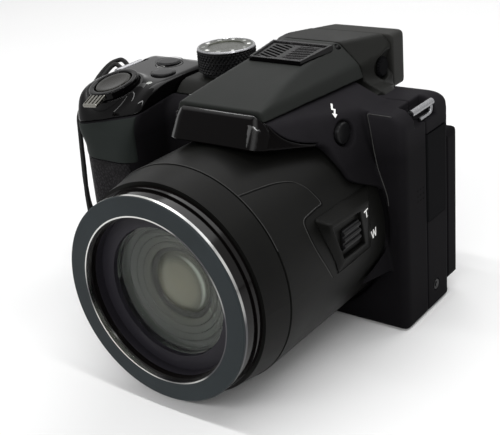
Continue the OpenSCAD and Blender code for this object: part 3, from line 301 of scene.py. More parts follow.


# Bands of the surface's facing, sideways and upwards, where painted highlights raise the gloss.
PAINTED_CORNER_GLINT = [(0.3, BLACK), (0.42, FULL), (0.5, FULL), (0.6, BLACK)]
PAINTED_TOP_GLINT = (0.58, 0.72)


def lacquered(name, colour, rough, face, edge):
    """Glossy black with painted highlights: its specular level rises where the surface faces up along the
    top bevel and sideways at the corners.
    """
    n = Nodes(name)
    patches = n.noise(PATCH_SCALE)
    n.feed(Base_Color=n.mottle(patches, shade(colour, 0.88), shade(colour, 1.12)),
           Roughness=n.spread(patches, rough * 0.8, rough * 1.2))
    parts = n.add("ShaderNodeSeparateXYZ")
    n.join(n.add("ShaderNodeNewGeometry").outputs["Normal"], parts.inputs[0])
    corner = n.ramp(n.calc("ABSOLUTE", parts.outputs["X"]), PAINTED_CORNER_GLINT)
    shine = n.calc("MAXIMUM", n.spread(parts.outputs["Z"], 0.0, 1.0, *PAINTED_TOP_GLINT), corner)
    n.feed(Specular_IOR_Level=n.spread(shine, face, edge, 0.0, 1.0))
    return n.material


def metal(name, colour, rough, streak, depth=0.004):
    """Plated or turned metal with fine scratches."""
    n = Nodes(name)
    fine = n.noise(streak, 4.0)
    n.feed(Base_Color=n.mottle(fine, shade(colour, 0.9), colour),
           Roughness=n.spread(fine, rough * 0.7, rough * 1.4))
    n.bump(fine, 0.3, depth)
    n.set(Metallic=1.0)
    return n.material


def painted_reflection_metal(name, dark, bright, rough):
    """Plated ring with painted reflections: its colour wanders between dark and bright patches, as of a
    room mirrored in it.
    """
    n = Nodes(name)
    n.feed(Base_Color=n.ramp(n.noise(42.0, 1.0), [(0.42, dark), (0.56, bright)]),
           Roughness=n.spread(n.noise(900.0), rough * 0.8, rough * 1.2))
    n.set(Metallic=1.0)
    return n.material


def clear(name, colour, rough, ior):
    """Optical glass with a faint unevenness of tint."""
    n = Nodes(name)
    n.feed(Base_Color=n.mottle(n.noise(60.0), shade(colour, 0.97), colour),
           Roughness=n.spread(n.noise(300.0), rough, rough * 1.5))
    n.set(Transmission_Weight=1.0, IOR=ior)
    return n.material


def leather(name, colour):
    """Leather-grained rubber: small raised cells with soft creases, darker in the creases by painted shade.
    """
    n = Nodes(name)
    creases = n.spread(n.cells(850.0), 0.0, 1.0, 0.0, 0.28)
    # The colour is darker in the creases: painted shade.
    n.feed(Base_Color=n.ramp(creases, [(0.0, shade(colour, 0.55)), (1.0, shade(colour, 1.15))]),
           Roughness=n.spread(creases, 0.72, 0.5, 0.0, 1.0))
    n.bump(creases, 0.9, 0.16)
    n.set(Specular_IOR_Level=0.06)
    return n.material


def banded(name, inner_r, inner, outer, inner_rough, outer_rough, shine):
    """Turned piece whose bore is matt and whose outside is glossy."""
    n = Nodes(name)
    zone = n.spread(n.radius(), 0.0, 1.0, inner_r * MM, (inner_r + 0.2) * MM)
    n.feed(Base_Color=n.ramp(zone, [(0.0, inner), (1.0, outer)]),
           Roughness=n.spread(zone, inner_rough, outer_rough, 0.0, 1.0))
    n.bump(n.noise(900.0), 0.2, 0.004)
    n.set(Specular_IOR_Level=shine)
    return n.material


# Place and colour of a painted highlight, a pale crescent on the inner lens.
PAINTED_GLINT_AT, PAINTED_GLINT_TINT = (-1.8, -0.6), (0.26, 0.275, 0.25, 1)


def tint_and_painted_light(name, stops, full_r, rough, **settings):
    """Inner lens surface, tinted by radius, with painted light: a paler centre, painted reflections in thin
    rings, painted shade in its groove and a painted highlight as a pale crescent at one side.
    """
    n = Nodes(name)
    part = n.spread(n.radius(), 0.0, 1.0, 0.0, full_r * MM)
    outside = n.spread(n.radius(PAINTED_GLINT_AT), 0.0, 1.0, 8.6 * MM, 9.4 * MM)
    painted_glint = n.calc("MULTIPLY", outside, n.spread(part, 1.0, 0.0, 0.41, 0.44))
    tint = n.add("ShaderNodeMix", data_type="RGBA")
    n.join(painted_glint, tint.inputs[0])
    n.join(n.ramp(part, stops), tint.inputs[6])
    tint.inputs[7].default_value = PAINTED_GLINT_TINT
    n.feed(Base_Color=tint.outputs[2],
           Roughness=n.spread(n.noise(120.0), rough * 0.9, rough * 1.1))
    n.set(**settings)
    return n.material


# Moulded: colour, roughness, grain per metre, its depth in millimetres, shine
# The shell grows paler between 55 and 68 mm up: painted light from above.
SHELL = moulded("shell_black", (0.0066, 0.0062, 0.007), 0.5, 4200, 0.03, 0.008, painted_light=(55, 68, 2.6))
BARREL = moulded("barrel_black", (0.0052, 0.0052, 0.0048), 0.4, 4600, 0.022, 0.06)
SATIN = moulded("lid_satin", (0.0109, 0.0122, 0.011), 0.5, 5200, 0.02, 0.08)
GLOSS = moulded("gloss_black", (0.002, 0.0018, 0.002), 0.06, 500, 0.004, 0.09)
DECK_BLACK = moulded("deck_black", (0.009, 0.0092, 0.0083), 0.48, 4200, 0.025, 0.07)
BAND = moulded("smooth_rubber", (0.0141, 0.017, 0.0158), 0.6, 2600, 0.02, 0.06)
RUBBER = moulded("rubber_black", (0.0045, 0.0045, 0.005), 0.7, 2400, 0.03, 0.015)
KEY = moulded("key_black", (0.0065, 0.0065, 0.007), 0.36, 3000, 0.015, 0.12)
OLIVE = moulded("shutter_satin", (0.009, 0.0082, 0.006), 0.22, 2200, 0.012, 0.13)
# Pale wires along edges and seams: painted highlights.
PAINTED_HIGHLIGHT = moulded("painted_edge_highlight", (0.026, 0.026, 0.025), 0.4, 3000, 0.01, 0.2, vary=0.3)
CUP = moulded("eyecup_rubber", (0.022, 0.022, 0.0205), 0.6, 2400, 0.03, 0.08)
INNER = moulded("inner_grey", (0.06, 0.06, 0.064), 0.55, 1800, 0.02)
BOARD = moulded("board_green", (0.02, 0.1, 0.045), 0.45, 900, 0.02)
RING_FACE = moulded("ring_face", (0.021, 0.0262, 0.0285), 0.45, 4200, 0.012, 0.09)
WHITE = moulded("white_ink", (0.85, 0.85, 0.83), 0.5, 3000, 0.006, vary=0.04)
DIM = moulded("dim_ink", (0.1, 0.1, 0.095), 0.45, 3000, 0.006, vary=0.06)
PALE = moulded("pale_ink", (0.35, 0.36, 0.34), 0.45, 3000, 0.006, vary=0.06)
# Near-black for flat marks that stand for holes, recesses and a groove: painted shade. The speaker inside
# wears it too.
RECESS_SHADE = moulded("painted_recess_shade", (0.003, 0.003, 0.003), 0.8, 1500, 0.02, 0.05)
SCREEN = moulded("monitor_glass", (0.006, 0.007, 0.009), 0.07, 300, 0.002)
CORD = moulded("leash_black", (0.006, 0.006, 0.006), 0.6, 2600, 0.06, 0.2)

# Other materials
# Gloss plate of the fascia, with painted highlights on its bevels.
PLATE = lacquered("plate_gloss", (0.002, 0.0016, 0.0017), 0.06, 0.05, 0.45)
GRAINED = leather("grained_rubber", (0.0119, 0.0111, 0.0121))
STEEL = metal("steel", (0.27, 0.27, 0.28), 0.26, 1200)
TAB_METAL = metal("tab_metal", (0.2, 0.195, 0.175), 0.22, 1400)
BRASS = metal("brass", (0.62, 0.47, 0.2), 0.3, 1000)
TURNED = metal("turned_dark", (0.055, 0.058, 0.046), 0.32, 1600, 0.01)
# Chrome trim whose dark and bright patches are painted reflections.
TRIM = painted_reflection_metal("chrome_trim", (0.08, 0.08, 0.085), (0.62, 0.62, 0.6), 0.14)
GLASS = clear("lens_glass", (0.96, 0.98, 0.95), 0.01, 1.16)
BLUE_GLASS = clear("flash_window", (0.85, 0.88, 0.9), 0.15, 1.45)
LENS_FRONT = banded("lens_front", 23.05, (0.0165, 0.0152, 0.0195), (0.003, 0.0024, 0.0023),
                    0.45, 0.1, 0.14)
# Colour by radius over the inner lens: its tint with a paler centre of painted light, painted reflections
# as thin rings, and painted shade in its groove.
LENS_TINT_AND_PAINTED_LIGHT = [
    (0.0, (0.118, 0.112, 0.082)), (0.3, (0.105, 0.101, 0.077)), (0.42, (0.04, 0.041, 0.032)),
    (0.47, (0.05, 0.052, 0.043)), (0.48, (0.006, 0.006, 0.005)), (0.53, (0.006, 0.006, 0.005)),
    (0.55, (0.035, 0.037, 0.029)), (0.64, (0.02, 0.022, 0.018)), (0.66, (0.03, 0.033, 0.028)),
    (0.74, (0.017, 0.02, 0.017)), (0.76, (0.024, 0.028, 0.024)), (0.88, (0.013, 0.016, 0.014)),
    (0.9, (0.019, 0.023, 0.02)), (1.0, (0.006, 0.007, 0.007)),
]
BOWL = tint_and_painted_light("lens_tint_painted_light", LENS_TINT_AND_PAINTED_LIGHT, GLASS_R, 0.25, Specular_IOR_Level=0.2, Coat_Weight=0.25,
              Coat_Roughness=0.04)


# Signed distance shapes, in millimetres

def smax(a, b, k):
    """Larger of two fields, with the edge rounded over about k."""
    h = np.maximum(k - np.abs(a - b), 0.0) / k
    return np.maximum(a, b) + h * h * (k * 0.25)


def smin(a, b, k):
    return -smax(-a, -b, k)


def overlap(*fields):
    """Space inside all the fields, with sharp edges."""
    return functools.reduce(np.maximum, fields)


def union(*fields):
    """Space inside any of the fields, with sharp edges."""
    return functools.reduce(np.minimum, fields)


def cut(a, b, k=0.0):
    """a without b, with the edge rounded over about k."""
    return smax(a, -b, k) if k else np.maximum(a, -b)


def carve(d, *spaces):
    """d without several spaces, each given with the rounding of its edge."""
    for space, k in spaces:
        d = cut(d, space, k)
    return d


def step(t):
    """Smooth rise from 0 to 1 as t goes from 0 to 1."""
    t = np.clip(t, 0.0, 1.0)
    return t * t * (3 - 2 * t)


def rrect(u, v, a, b, r):
    """Rectangle from corner a to b with four corner radii, from a round to the left."""
    cu, cv = (a[0] + b[0]) / 2, (a[1] + b[1]) / 2
    low = np.where(u < cu, r[0], r[1])
    high = np.where(u < cu, r[3], r[2])
    radius = np.where(v < cv, low, high)
    qu = np.abs(u - cu) - (b[0] - a[0]) / 2 + radius
    qv = np.abs(v - cv) - (b[1] - a[1]) / 2 + radius
    outside = np.sqrt(np.maximum(qu, 0) ** 2 + np.maximum(qv, 0) ** 2)
    return outside + np.minimum(np.maximum(qu, qv), 0) - radius


def soft_box(x, y, z, a, b, radii, k):
    """Box with its own corner radii in plan, from the front and from the side."""
    plan, front, side = radii
    d = smax(rrect(x, y, a, b, plan), rrect(x, z, (a[0], a[2]), (b[0], b[2]), front), k)
    return smax(d, rrect(y, z, (a[1], a[2]), (b[1], b[2]), side), k)


def block(x, y, z, a, b):
    """Plain box from corner a to corner b."""
    sides = [np.abs(v - (p + q) / 2) - (q - p) / 2 for v, p, q in zip((x, y, z), a, b)]
    return overlap(*sides)


def rod(p, q, w, centre, r, w0, w1):
    """Cylinder along w, round the centre in p and q."""
    return overlap(np.sqrt((p - centre[0]) ** 2 + (q - centre[1]) ** 2) - r, w0 - w, w - w1)


def lens_radius(x, z):
    return np.sqrt((x - LENS_X) ** 2 + (z - LENS_Z) ** 2)


# Body and grip

BODY_RADII = (1, 3, 1.6, 8), (3, 1.2, 6, 5), (2, 2, 4, 1.4)
GRIP_RADII = (15, 8, 1, 8), (3, 1, 3, 6), (3, 2, 5, 22)
LEAST_RADIUS = 0.4
GRIP_DRAW_IN, GRIP_FADE_H, GRIP_FADE_X, GRIP_FADE_W = 2.0, 7, -40, 10
CAP_NORMAL, CAP_EDGE = (-0.1812, -0.1045, 0.9778), 56.0
DECK_END = LENS_X - 26.0
DECK_EDGE_Y, DECK_EDGE_RUN, DECK_EDGE_DROP, DECK_EDGE = -3.5, 8.5, 8.0, 11.67


def shrink(radii, i):
    return [[max(r - i, LEAST_RADIUS) for r in corners] for corners in radii]


def main_form(x, y, z, i):
    """Outer form of the body, drawn in by i."""
    low, high = (RIGHT + i, FRONT + i, i), (LEFT - i, REAR - i, DECK - i)
    return soft_box(x, y, z, low, high, shrink(BODY_RADII, i), 1.0)


def grip_form(x, y, z, i):
    """Outer form of the grip, drawn in by i. Its outer side is slimmer under the cap."""
    outward = np.clip((GRIP_FADE_X - x) / GRIP_FADE_W, 0, 1)
    slim = GRIP_DRAW_IN * step((CAP_EDGE - z) / GRIP_FADE_H) * outward
    low, high = (RIGHT + i, GRIP_FRONT + i, i), (GRIP_LEFT - i, REAR - i, CAP_TOP - i)
    return soft_box(x - slim, y, z, low, high, shrink(GRIP_RADII, i), 2.0)


def cap_side(x, y, z):
    """Height above the plane of the cap's lower edge."""
    return (CAP_NORMAL[0] * (x - RIGHT) + CAP_NORMAL[1] * (y - GRIP_FRONT)
            + CAP_NORMAL[2] * (z - CAP_EDGE))


def cap_zone(x, y, z):
    return overlap(-cap_side(x, y, z), x - GRIP_LEFT)


def deck_slope(x, y, z):
    """Positive ahead of the sloping front edge of the deck, between the cap and the hump."""
    slope = ((z - DECK) * DECK_EDGE_RUN - (y - DECK_EDGE_Y) * DECK_EDGE_DROP) / DECK_EDGE
    return np.minimum(slope, DECK_END + 6 - x)


def body_form(x, y, z):
    """Main form with the deck's sloping front edge."""
    return smax(main_form(x, y, z, 0), deck_slope(x, y, z), 2.0)


def top_zone(x, y, z):
    """Space of the top cover beside and behind the hump."""
    beside = block(x, y, z, (GRIP_LEFT, -40, TOP_SEAM), (DECK_END, 60, 200))
    behind = block(x, y, z, (GRIP_LEFT, SEAM_Y, TOP_SEAM), (LENS_X + EVF_HALF + 2, 60, 200))
    return union(beside, behind)


# Hump over the lens

RIDGE_TOP_Z, RIDGE_OUT, RIDGE_SLOPE = 69.0, 26.75, 0.197
GROOVE_R, GROOVE_FLOOR = 33.4, -9.6
NACELLE_FRONT, NACELLE_FOOT = -24.3, 46
SLEEVE_R, BARREL_CLEAR, NECK_R = 34.8, 33.2, 31.0
SLEEVE_SET_BACK, SLEEVE_FADE_Z, SLEEVE_FADE_H = 12.5, 53, 8
HUMP_Y, LID_SEAT_Y, LID_SEAT_Z, LID_CREST_Y = -10, -41.7, 73, -16
FASCIA_FOOT, FASCIA_RISE, FASCIA_EDGE = (-47.8, 66.9), (4.6, 8.8), 9.93
WING_END, WING_Y, WING_Z, WING_CURVE = -27.5, -50.2, 57.7, 127
VISOR_Y, VISOR_Z = -48, 66.8
FLASH_POCKET_HALF, FLASH_FLOOR = 13.2, 67.8


def ridge(z):
    """Where the left front panel ends towards the hump, as a distance from the lens axis."""
    return RIDGE_OUT + RIDGE_SLOPE * (RIDGE_TOP_Z - z)


def front_groove(x, y, z):
    """Step in the front wall inside the panel's edge and round the barrel."""
    u = x - LENS_X
    upper = overlap(u - ridge(z), NACELLE_FOOT - z, -u)
    region = smin(upper, lens_radius(x, z) - GROOVE_R, 1.5)
    return smax(region, y - GROOVE_FLOOR, 0.6)


# Planes of the hump and the lid: u is the distance from the middle, and the divisor is the
# length of the plane's normal

def flank(u, y, z):
    return (u - (25 + 0.2635 * (y - HUMP_Y) - 0.2037 * (z - DECK))) / 1.054


def shoulder(u, y, z):
    return (z - (71.75 - 0.0073 * (y - HUMP_Y) - 0.441 * (u - 16.5))) / 1.093


def lid_gap(y):
    """Height of the gap under the flash lid."""
    return LID_SEAT_Z - 0.0197 * (y - LID_SEAT_Y)


def lid_side(u, y, z):
    return (u - (15 + 0.0525 * (y - LID_SEAT_Y) - 0.34 * (z - LID_SEAT_Z))) / 1.057


def lid_top(u, y, z):
    """Top of the flash lid: a front slope, a plateau and a slope down each side."""
    slope = (z - (75.9 + 0.2045 * (y - LID_FRONT))) / 1.02
    plateau = z - (GRILLE_Z + 0.065 * (y - LID_CREST_Y))
    side = (z - (76.35 - 0.892 * (u - 15.05) + 0.0525 * (y - LID_CREST_Y))) / 1.34
    return smax(smax(slope, plateau, 2.5), side, 0.9)


def visor(y, z):
    """Space under the visor: below its sloping underside and ahead of its rear foot."""
    under = (VISOR_Z - 0.214 * (y - VISOR_Y) - z) / 1.023
    return smin(under, NACELLE_FRONT - y, 3.0)


def hump(x, y, z):
    """Outer form of the hump with the visor, open above the lid gap."""
    u = np.abs(x - LENS_X)
    sleeve_front = NACELLE_FRONT + SLEEVE_SET_BACK * step((SLEEVE_FADE_Z - z) / SLEEVE_FADE_H)
    sleeve_end = overlap(sleeve_front - y, NACELLE_FOOT - z)
    sleeve = smax(lens_radius(x, z) - SLEEVE_R, sleeve_end, 1.2)
    d = smin(smax(flank(u, y, z), shoulder(u, y, z), 1.5), sleeve, 4.0)
    return overlap(smax(d, visor(y, z), 1.4), 20.0 - z)


def chamfer(a, b, width):
    """Flat between two fields that meet at about a right angle."""
    return (a + b) * 0.7071 + width / 2


def fascia_front(y, z):
    out, up = FASCIA_RISE
    return (-(y - FASCIA_FOOT[0]) * up + (z - FASCIA_FOOT[1]) * out) / FASCIA_EDGE


def wing_zone(y, z):
    """Negative ahead of the lid and below the wing's upper edge."""
    edge = WING_Z + WING_CURVE / np.maximum(y - WING_Y, 1.0)
    wing = overlap((z - edge) * 0.72, (y - WING_END) * 0.5)
    return np.minimum(y - LID_FRONT + 0.2, wing)


def hump_cover(x, y, z):
    """The hump as a part of the front cover: behind the fascia and below the lid."""
    d = smax(hump(x, y, z), 0.1 - wing_zone(y, z), 0.3)
    d = smax(d, z - lid_gap(y) + 0.2, 0.5)
    inner = union(overlap(d, y + 9.8), overlap(d, DECK - 1.6 - z))
    return overlap(inner, np.abs(x - LENS_X) - 40)


# Shapes of the covers. Cuts that run out of the body end well outside it.

EYELET_IN = 5.5
BASE_SCREWS = [(-21.75, -6), (-21.75, 12), (40.75, -6), (40.75, 12)]
SIDE_SCREW = (7.6, 7.2)
SCREW_R, SCREW_DEPTH = 1.75, 1.3
DOOR_A, DOOR_B = (-52.95, -21.95), (-31.65, 9.0)
TRIPOD_R = 4.9
REAR_KEYS = {
    "movie_button": ((-21.75, 54.5), 3.5),
    "playback_button": ((-26.05, 45.0), 2.6),
    "menu_button": ((-47.05, 9.5), 2.6),
    "delete_button": ((-26.05, 9.5), 2.6),
    "display_button": ((-8.95, 60.0), 2.6),
    "view_button": ((47.75, 60.0), 2.6),
}
FLUSH_KEYS = ("display_button", "view_button")
EVF_CUT_AT, EVF_CUT_TURN, EVF_CUT_SLOPE = (5.15, 8.2, 82.1), math.radians(29.6), math.radians(20)
HINGE_EAR = 9.4
BAY_FLOOR_X, ARM_X = (-1.3, 44.3), (1.3, 41.7)
EYEPIECE_R, DISPLAY_HALF_W, DISPLAY_HALF_H = 6.1, 9, 5.5
DIAL_SHAFT_R = 2.6
SCOOP_AT, SCOOP_STRETCH, SCOOP_R = (22.5, 15, 74.4), (1.1, 1.15), 4.4
SHUTTER_LEAN, SHUTTER_TILT = math.radians(-6), math.radians(14)
SHUTTER_BOSS_R, SHUTTER_WELLS = 9.4, ((6.3, -3.2), (3.1, -20), (8.8, 0.2))


def eyelet_space(x, y, z, side, bar_z):
    """Hollow of a strap eyelet."""
    edge = side * LEFT
    a, b = sorted((edge - side * EYELET_IN, edge + side * 6))
    return block(x, y, z, (a, EYELET_Y[0], bar_z - 3.7), (b, EYELET_Y[1], 120))


def eyelet_lining(x, y, z, side, bar_z):
    edge = side * LEFT
    a, b = sorted((edge - side * 7, edge - side * 1.9))
    return block(x, y, z, (a, EYELET_Y[0] - 1.3, bar_z - 5), (b, EYELET_Y[1] + 1.3, bar_z - 0.1))


def screw_holes(x, y, z):
    side = rod(y, z, x, SIDE_SCREW, SCREW_R, LEFT - SCREW_DEPTH, LEFT + 5)
    return union(side, *(rod(x, y, z, at, SCREW_R, -5, SCREW_DEPTH) for at in BASE_SCREWS))


def walls(x, y, z):
    """Hollow shell of the body and grip, before it is split into covers."""
    outer = smin(body_form(x, y, z), grip_form(x, y, z, 0), 2.5)
    outer = cut(outer, front_groove(x, y, z), 0.9)
    hollow = union(main_form(x, y, z, WALL), grip_form(x, y, z, WALL))
    shell = cut(outer, overlap(hollow, outer + 0.9))
    shell = union(shell, eyelet_lining(x, y, z, 1, EYELET_LEFT_Z))
    shell = carve(shell, (eyelet_space(x, y, z, 1, EYELET_LEFT_Z), 0.6),
                  (block(x, y, z, (*DOOR_A, -5), (*DOOR_B, WALL + 1)), 0.3),
                  (rod(x, y, z, (0, 0), TRIPOD_R, -5, WALL + 1), 0.3), (screw_holes(x, y, z), 0.4))
    return carve(shell, (cap_zone(x, y, z), 0.3), (top_zone(x, y, z), 0))


def rubber_zone(x, y, z, gap):
    """Front of the grip between the ends of its rubber, drawn in by a gap."""
    return block(x, y, z, (RIGHT - 5, GRIP_FRONT - 5, RUBBER_Z[0] + gap),
                 (RUBBER_LEFT - gap, FRONT + 2 - gap, RUBBER_Z[1] - gap))


def front_cover(x, y, z):
    d = smin(walls(x, y, z), hump_cover(x, y, z), 0.8)
    r = lens_radius(x, z)
    flash = block(x, y, z, (LENS_X - FLASH_POCKET_HALF, -41, FLASH_FLOOR),
                  (LENS_X + FLASH_POCKET_HALF, 0.2, 120))
    key = rod(y, z, x, FLASH_BUTTON, FLASH_BUTTON_R + KEY_GAP, LENS_X + 8, LENS_X + 40)
    rim = rod(y, z, x, FLASH_BUTTON, FLASH_BUTTON_R + 0.65, LENS_X + 22.7, LENS_X + 40)
    form = grip_form(x, y, z, 0)
    skin = overlap(form - 3, -form - RUBBER_T, rubber_zone(x, y, z, 0))
    d = carve(d, (overlap(r - BARREL_CLEAR, y - FRONT), 0.5), (overlap(r - NECK_R, y), 0.4),
              (flash, 0), (key, 0.3), (rim, 0.5), (skin, 0))
    return smax(d, y - (SEAM_Y - SEAM_HALF), 0.5)


def rear_cover(x, y, z):
    """Rear cover with the monitor's bay, the keys' holes and the frame of the connector cover."""
    low, high = MONITOR_Z
    floor = block(x, y, z, (BAY_FLOOR_X[0], BAY_Y - 2.8, WALL), (BAY_FLOOR_X[1], 14.8, high + 3))
    bay = block(x, y, z, (MONITOR_X[0] - 1, BAY_Y, low - 1.6), (90, 90, high + 1.2))
    arm = block(x, y, z, (ARM_X[0], BAY_Y - 1.4, low - 1.5), (ARM_X[1], 90, high + 1.5))
    dish = rod(x, z, y, SELECTOR, SELECTOR_R + 0.4, REAR - 1.2, 60)
    hub = rod(x, z, y, SELECTOR, OK_R + 1.5, 0, 60)
    d = carve(union(walls(x, y, z), floor), (bay, 0.5), (arm, 0.3), (dish, 0.6), (hub, 0.3))
    for centre, radius in REAR_KEYS.values():
        d = cut(d, rod(x, z, y, centre, radius + KEY_GAP, 5, 60), 0.5)
    slot = block(x, y, z, (WHEEL[0] - 7.5, WHEEL[1] - 1, WHEEL_Z[0] - 0.25),
                 (WHEEL[0] + 7.5, 60, WHEEL_Z[1] + 0.25))
    d = cut(d, slot, 0.4)
    (near, far), (foot, head) = FLAP_Y, FLAP_Z
    frame_back = block(x, y, z, (LEFT - 2.8, near - 2, foot - 2), (LEFT - 1.5, far + 1.6, head + 2))
    d = union(d, overlap(frame_back, main_form(x, y, z, 0.5)))
    flap = block(x, y, z, (LEFT - 1.5, near - 0.9, foot - 0.2), (90, far + 0.2, head + 0.2))
    sockets = block(x, y, z, (LEFT - 6, near + 2.4, foot + 2.4), (90, far - 1.5, head - 2.4))
    return smax(carve(d, (flap, 0.3), (sockets, 0.3)), SEAM_Y + SEAM_HALF - y, 0.5)


def finder_shoulder(x, y, z):
    """Space above the sloping right shoulder of the viewfinder housing."""
    dx, dy, dz = x - EVF_CUT_AT[0], y - EVF_CUT_AT[1], z - EVF_CUT_AT[2]
    across = math.cos(EVF_CUT_TURN) * dx - math.sin(EVF_CUT_TURN) * dy
    out = math.cos(EVF_CUT_SLOPE) * across + math.sin(EVF_CUT_SLOPE) * dz
    up = math.cos(EVF_CUT_SLOPE) * dz - math.sin(EVF_CUT_SLOPE) * across
    return overlap(out, -up)


def finder(x, y, z):
    """Viewfinder housing: flaring sides, a diagonal facet above each and a low ledge below."""
    u = np.abs(x - LENS_X)
    flare = (u - (16.3 + 0.365 * (y - 2.9))) / 1.065
    side = smax(flare, (u - (EVF_HALF - 0.06 * (z - DECK))), 0.8)
    facet = (z - (82.6 - 0.9 * (u - 9.3) + 0.53 * (y - 4.35))) / 1.445
    d = smax(smax(side, facet, 0.7), z - EVF_TOP, 0.8)
    ledge = smax(shoulder(u, y, z), (z - (71.9 - 0.21 * (y - 1))) / 1.02, 1.0)
    ledge = smax(smax(ledge, u - 27, 3.0), y - 12, 3.0)
    d = cut(smin(d, ledge, 3.0), finder_shoulder(x, y, z), 0.8)
    return smax(smax(d, EVF_FRONT - y, 0.3), y - EVF_REAR, 0.5)


def top_cover(x, y, z):
    """Top deck with the viewfinder housing and the ears of the lid's hinge."""
    form = body_form(x, y, z)
    deck = cut(form, overlap(main_form(x, y, z, WALL), form + 0.9))
    deck = smax(deck, top_zone(x, y, z) + 0.15, 0.3)
    housing = overlap(finder(x, y, z), DECK - 1.5 - z)
    e = np.abs(np.abs(x - LENS_X) - HINGE_EAR)
    ears = rod(y, z, e, (HINGE_Y, HINGE_Z), 0.8, -1, 1.1)
    low = (-1, HINGE_Y - 0.6, HINGE_Z - 2.4)
    strut = block(e, y, z, low, (1.1, HINGE_Y + 0.6, HINGE_Z))
    foot = block(e, y, z, low, (1.1, EVF_FRONT + 1, HINGE_Z - 1.4))
    d = union(smin(deck, housing, 2.5), ears, strut, foot)
    tunnel = rod(x, z, y, (LENS_X, EVF_AXIS), EYEPIECE_R, 10, 60)
    display = block(x, y, z, (LENS_X - DISPLAY_HALF_W, 7, EVF_AXIS - DISPLAY_HALF_H),
                    (LENS_X + DISPLAY_HALF_W, 10.4, EVF_AXIS + DISPLAY_HALF_H))
    knob = rod(y, z, x, DIOPTER, DIOPTER_R + 0.5, LENS_X + 18.3, 90)
    scoop = np.sqrt((x - LENS_X - SCOOP_AT[0]) ** 2 + ((y - SCOOP_AT[1]) / SCOOP_STRETCH[0]) ** 2
                    + ((z - SCOOP_AT[2]) / SCOOP_STRETCH[1]) ** 2) - SCOOP_R
    shaft = rod(x, y, z, DIAL, DIAL_SHAFT_R, 60, 69)
    return carve(d, (tunnel, 0), (display, 0), (knob, 0.4), (scoop, 0.6), (shaft, 0))


def shutter_frame():
    """Turned frame of the shutter button, as a matrix in millimetres."""
    turn = Matrix.Rotation(SHUTTER_LEAN, 4, "Y") @ Matrix.Rotation(SHUTTER_TILT, 4, "X")
    return Matrix.Translation(SHUTTER) @ turn


def in_shutter(x, y, z):
    """Coordinates in the shutter button's turned frame."""
    m = np.array(shutter_frame().inverted())
    return [m[i][0] * x + m[i][1] * y + m[i][2] * z + m[i][3] for i in range(3)]


def grip_cap(x, y, z):
    """Glossy cap of the grip with a boss for the shutter button and holes for the keys."""
    form = grip_form(x, y, z, 0)
    d = cut(form, grip_form(x, y, z, WALL))
    d = union(d, overlap(eyelet_lining(x, y, z, -1, EYELET_RIGHT_Z), form + 0.5))
    d = smax(d, cap_zone(x, y, z) + 0.2, 0.5)
    a, b, c = in_shutter(x, y, z)
    d = smin(d, rod(a, b, c, (0, 0), SHUTTER_BOSS_R, -5, 0.2), 2.5)
    for radius, low in SHUTTER_WELLS:
        d = cut(d, rod(a, b, c, (0, 0), radius, low, 20))
    for centre in (POWER, BURST):
        d = cut(d, rod(x, y, z, centre, TOP_BUTTON_R + KEY_GAP, CAP_TOP - 5, 90), 0.5)
    return cut(d, eyelet_space(x, y, z, -1, EYELET_RIGHT_Z), 0.6)


def grip_band(x, y, z):
    """Smooth rubber band between the cap and the grained panel."""
    form = grip_form(x, y, z, 0)
    skin = overlap(form - 0.18, -form - 0.6)
    zone = overlap(RUBBER_Z[1] + 0.15 - z, cap_side(x, y, z) + 0.25, y - 1.9, x - GRIP_LEFT + 1.2)
    return smax(skin, zone, 0.3)


def grip_rubber(x, y, z):
    form = grip_form(x, y, z, 0)
    skin = overlap(form + 0.02, -form - RUBBER_T + 0.05)
    return smax(skin, rubber_zone(x, y, z, 0.12), 0.5)


def thumb_pad(x, y, z):
    face = rrect(x, z, (RIGHT + 8, 15), (RIGHT + 10.4, 48), (1.1,) * 4)
    return smax(smax(face, y - REAR - 1.15, 0.8), REAR - y, 0.2)


def fascia(x, y, z):
    """Glossy plate on the front of the hump, with a wing along each side of the visor."""
    u = np.abs(x - LENS_X)
    front, top = fascia_front(y, z), lid_top(u, y, z)
    side = overlap(lid_side(u, y, z), flank(u, y, z))
    plate = smax(smax(front, side, 0.5), chamfer(front, side, 3.0), 1.0)
    plate = smax(smax(plate, top, 0.4), chamfer(front, top, 1.5), 0.5)
    d = smax(overlap(plate, y + 42.0), visor(y, z), 0.8)
    wings = overlap(smax(flank(u, y, z), visor(y, z), 0.6), -42.3 - y, z - LID_SEAT_Z)
    d = smax(union(d, wings), wing_zone(y, z) + 0.12, 0.5)
    d = overlap(d, BARREL_CLEAR + 0.2 - lens_radius(x, z))
    return cut(d, block(x, y, z, (LENS_X - 13.0, -41.6, FLASH_FLOOR), (LENS_X + 13.0, 5, 90)))


def flash_lid(x, y, z):
    """Flash lid, hollow for the flash head, with a rounded rear edge at its hinge."""
    u = np.abs(x - LENS_X)
    d = smax(lid_top(u, y, z), lid_side(u, y, z), 0.5)
    d = smax(smax(d, LID_FRONT - y, 0.6), lid_gap(y) + 0.15 - z, 0.4)
    over = np.sqrt(np.maximum(y - HINGE_Y, 0) ** 2 + (z - HINGE_Z) ** 2) - 1.75
    rear = np.where((z > HINGE_Z) & (y > HINGE_Y), over, y - HINGE_Y - 1.75)
    e = np.abs(u - HINGE_EAR)
    pocket = union(rod(y, z, e, (HINGE_Y, HINGE_Z), 0.95, -1, 1.4),
                   block(e, y, z, (-1, HINGE_Y - 0.95, 70), (1.4, 9, HINGE_Z)))
    head = block(x, y, z, (LENS_X - 11.8, -39.8, 0), (LENS_X + 11.8, -7.4, 75.3))
    return carve(smax(d, rear, 0.3), (pocket, 0), (head, 0), (grille_plan(x, y, z, 0.08, -1.2, 10), 0.25))


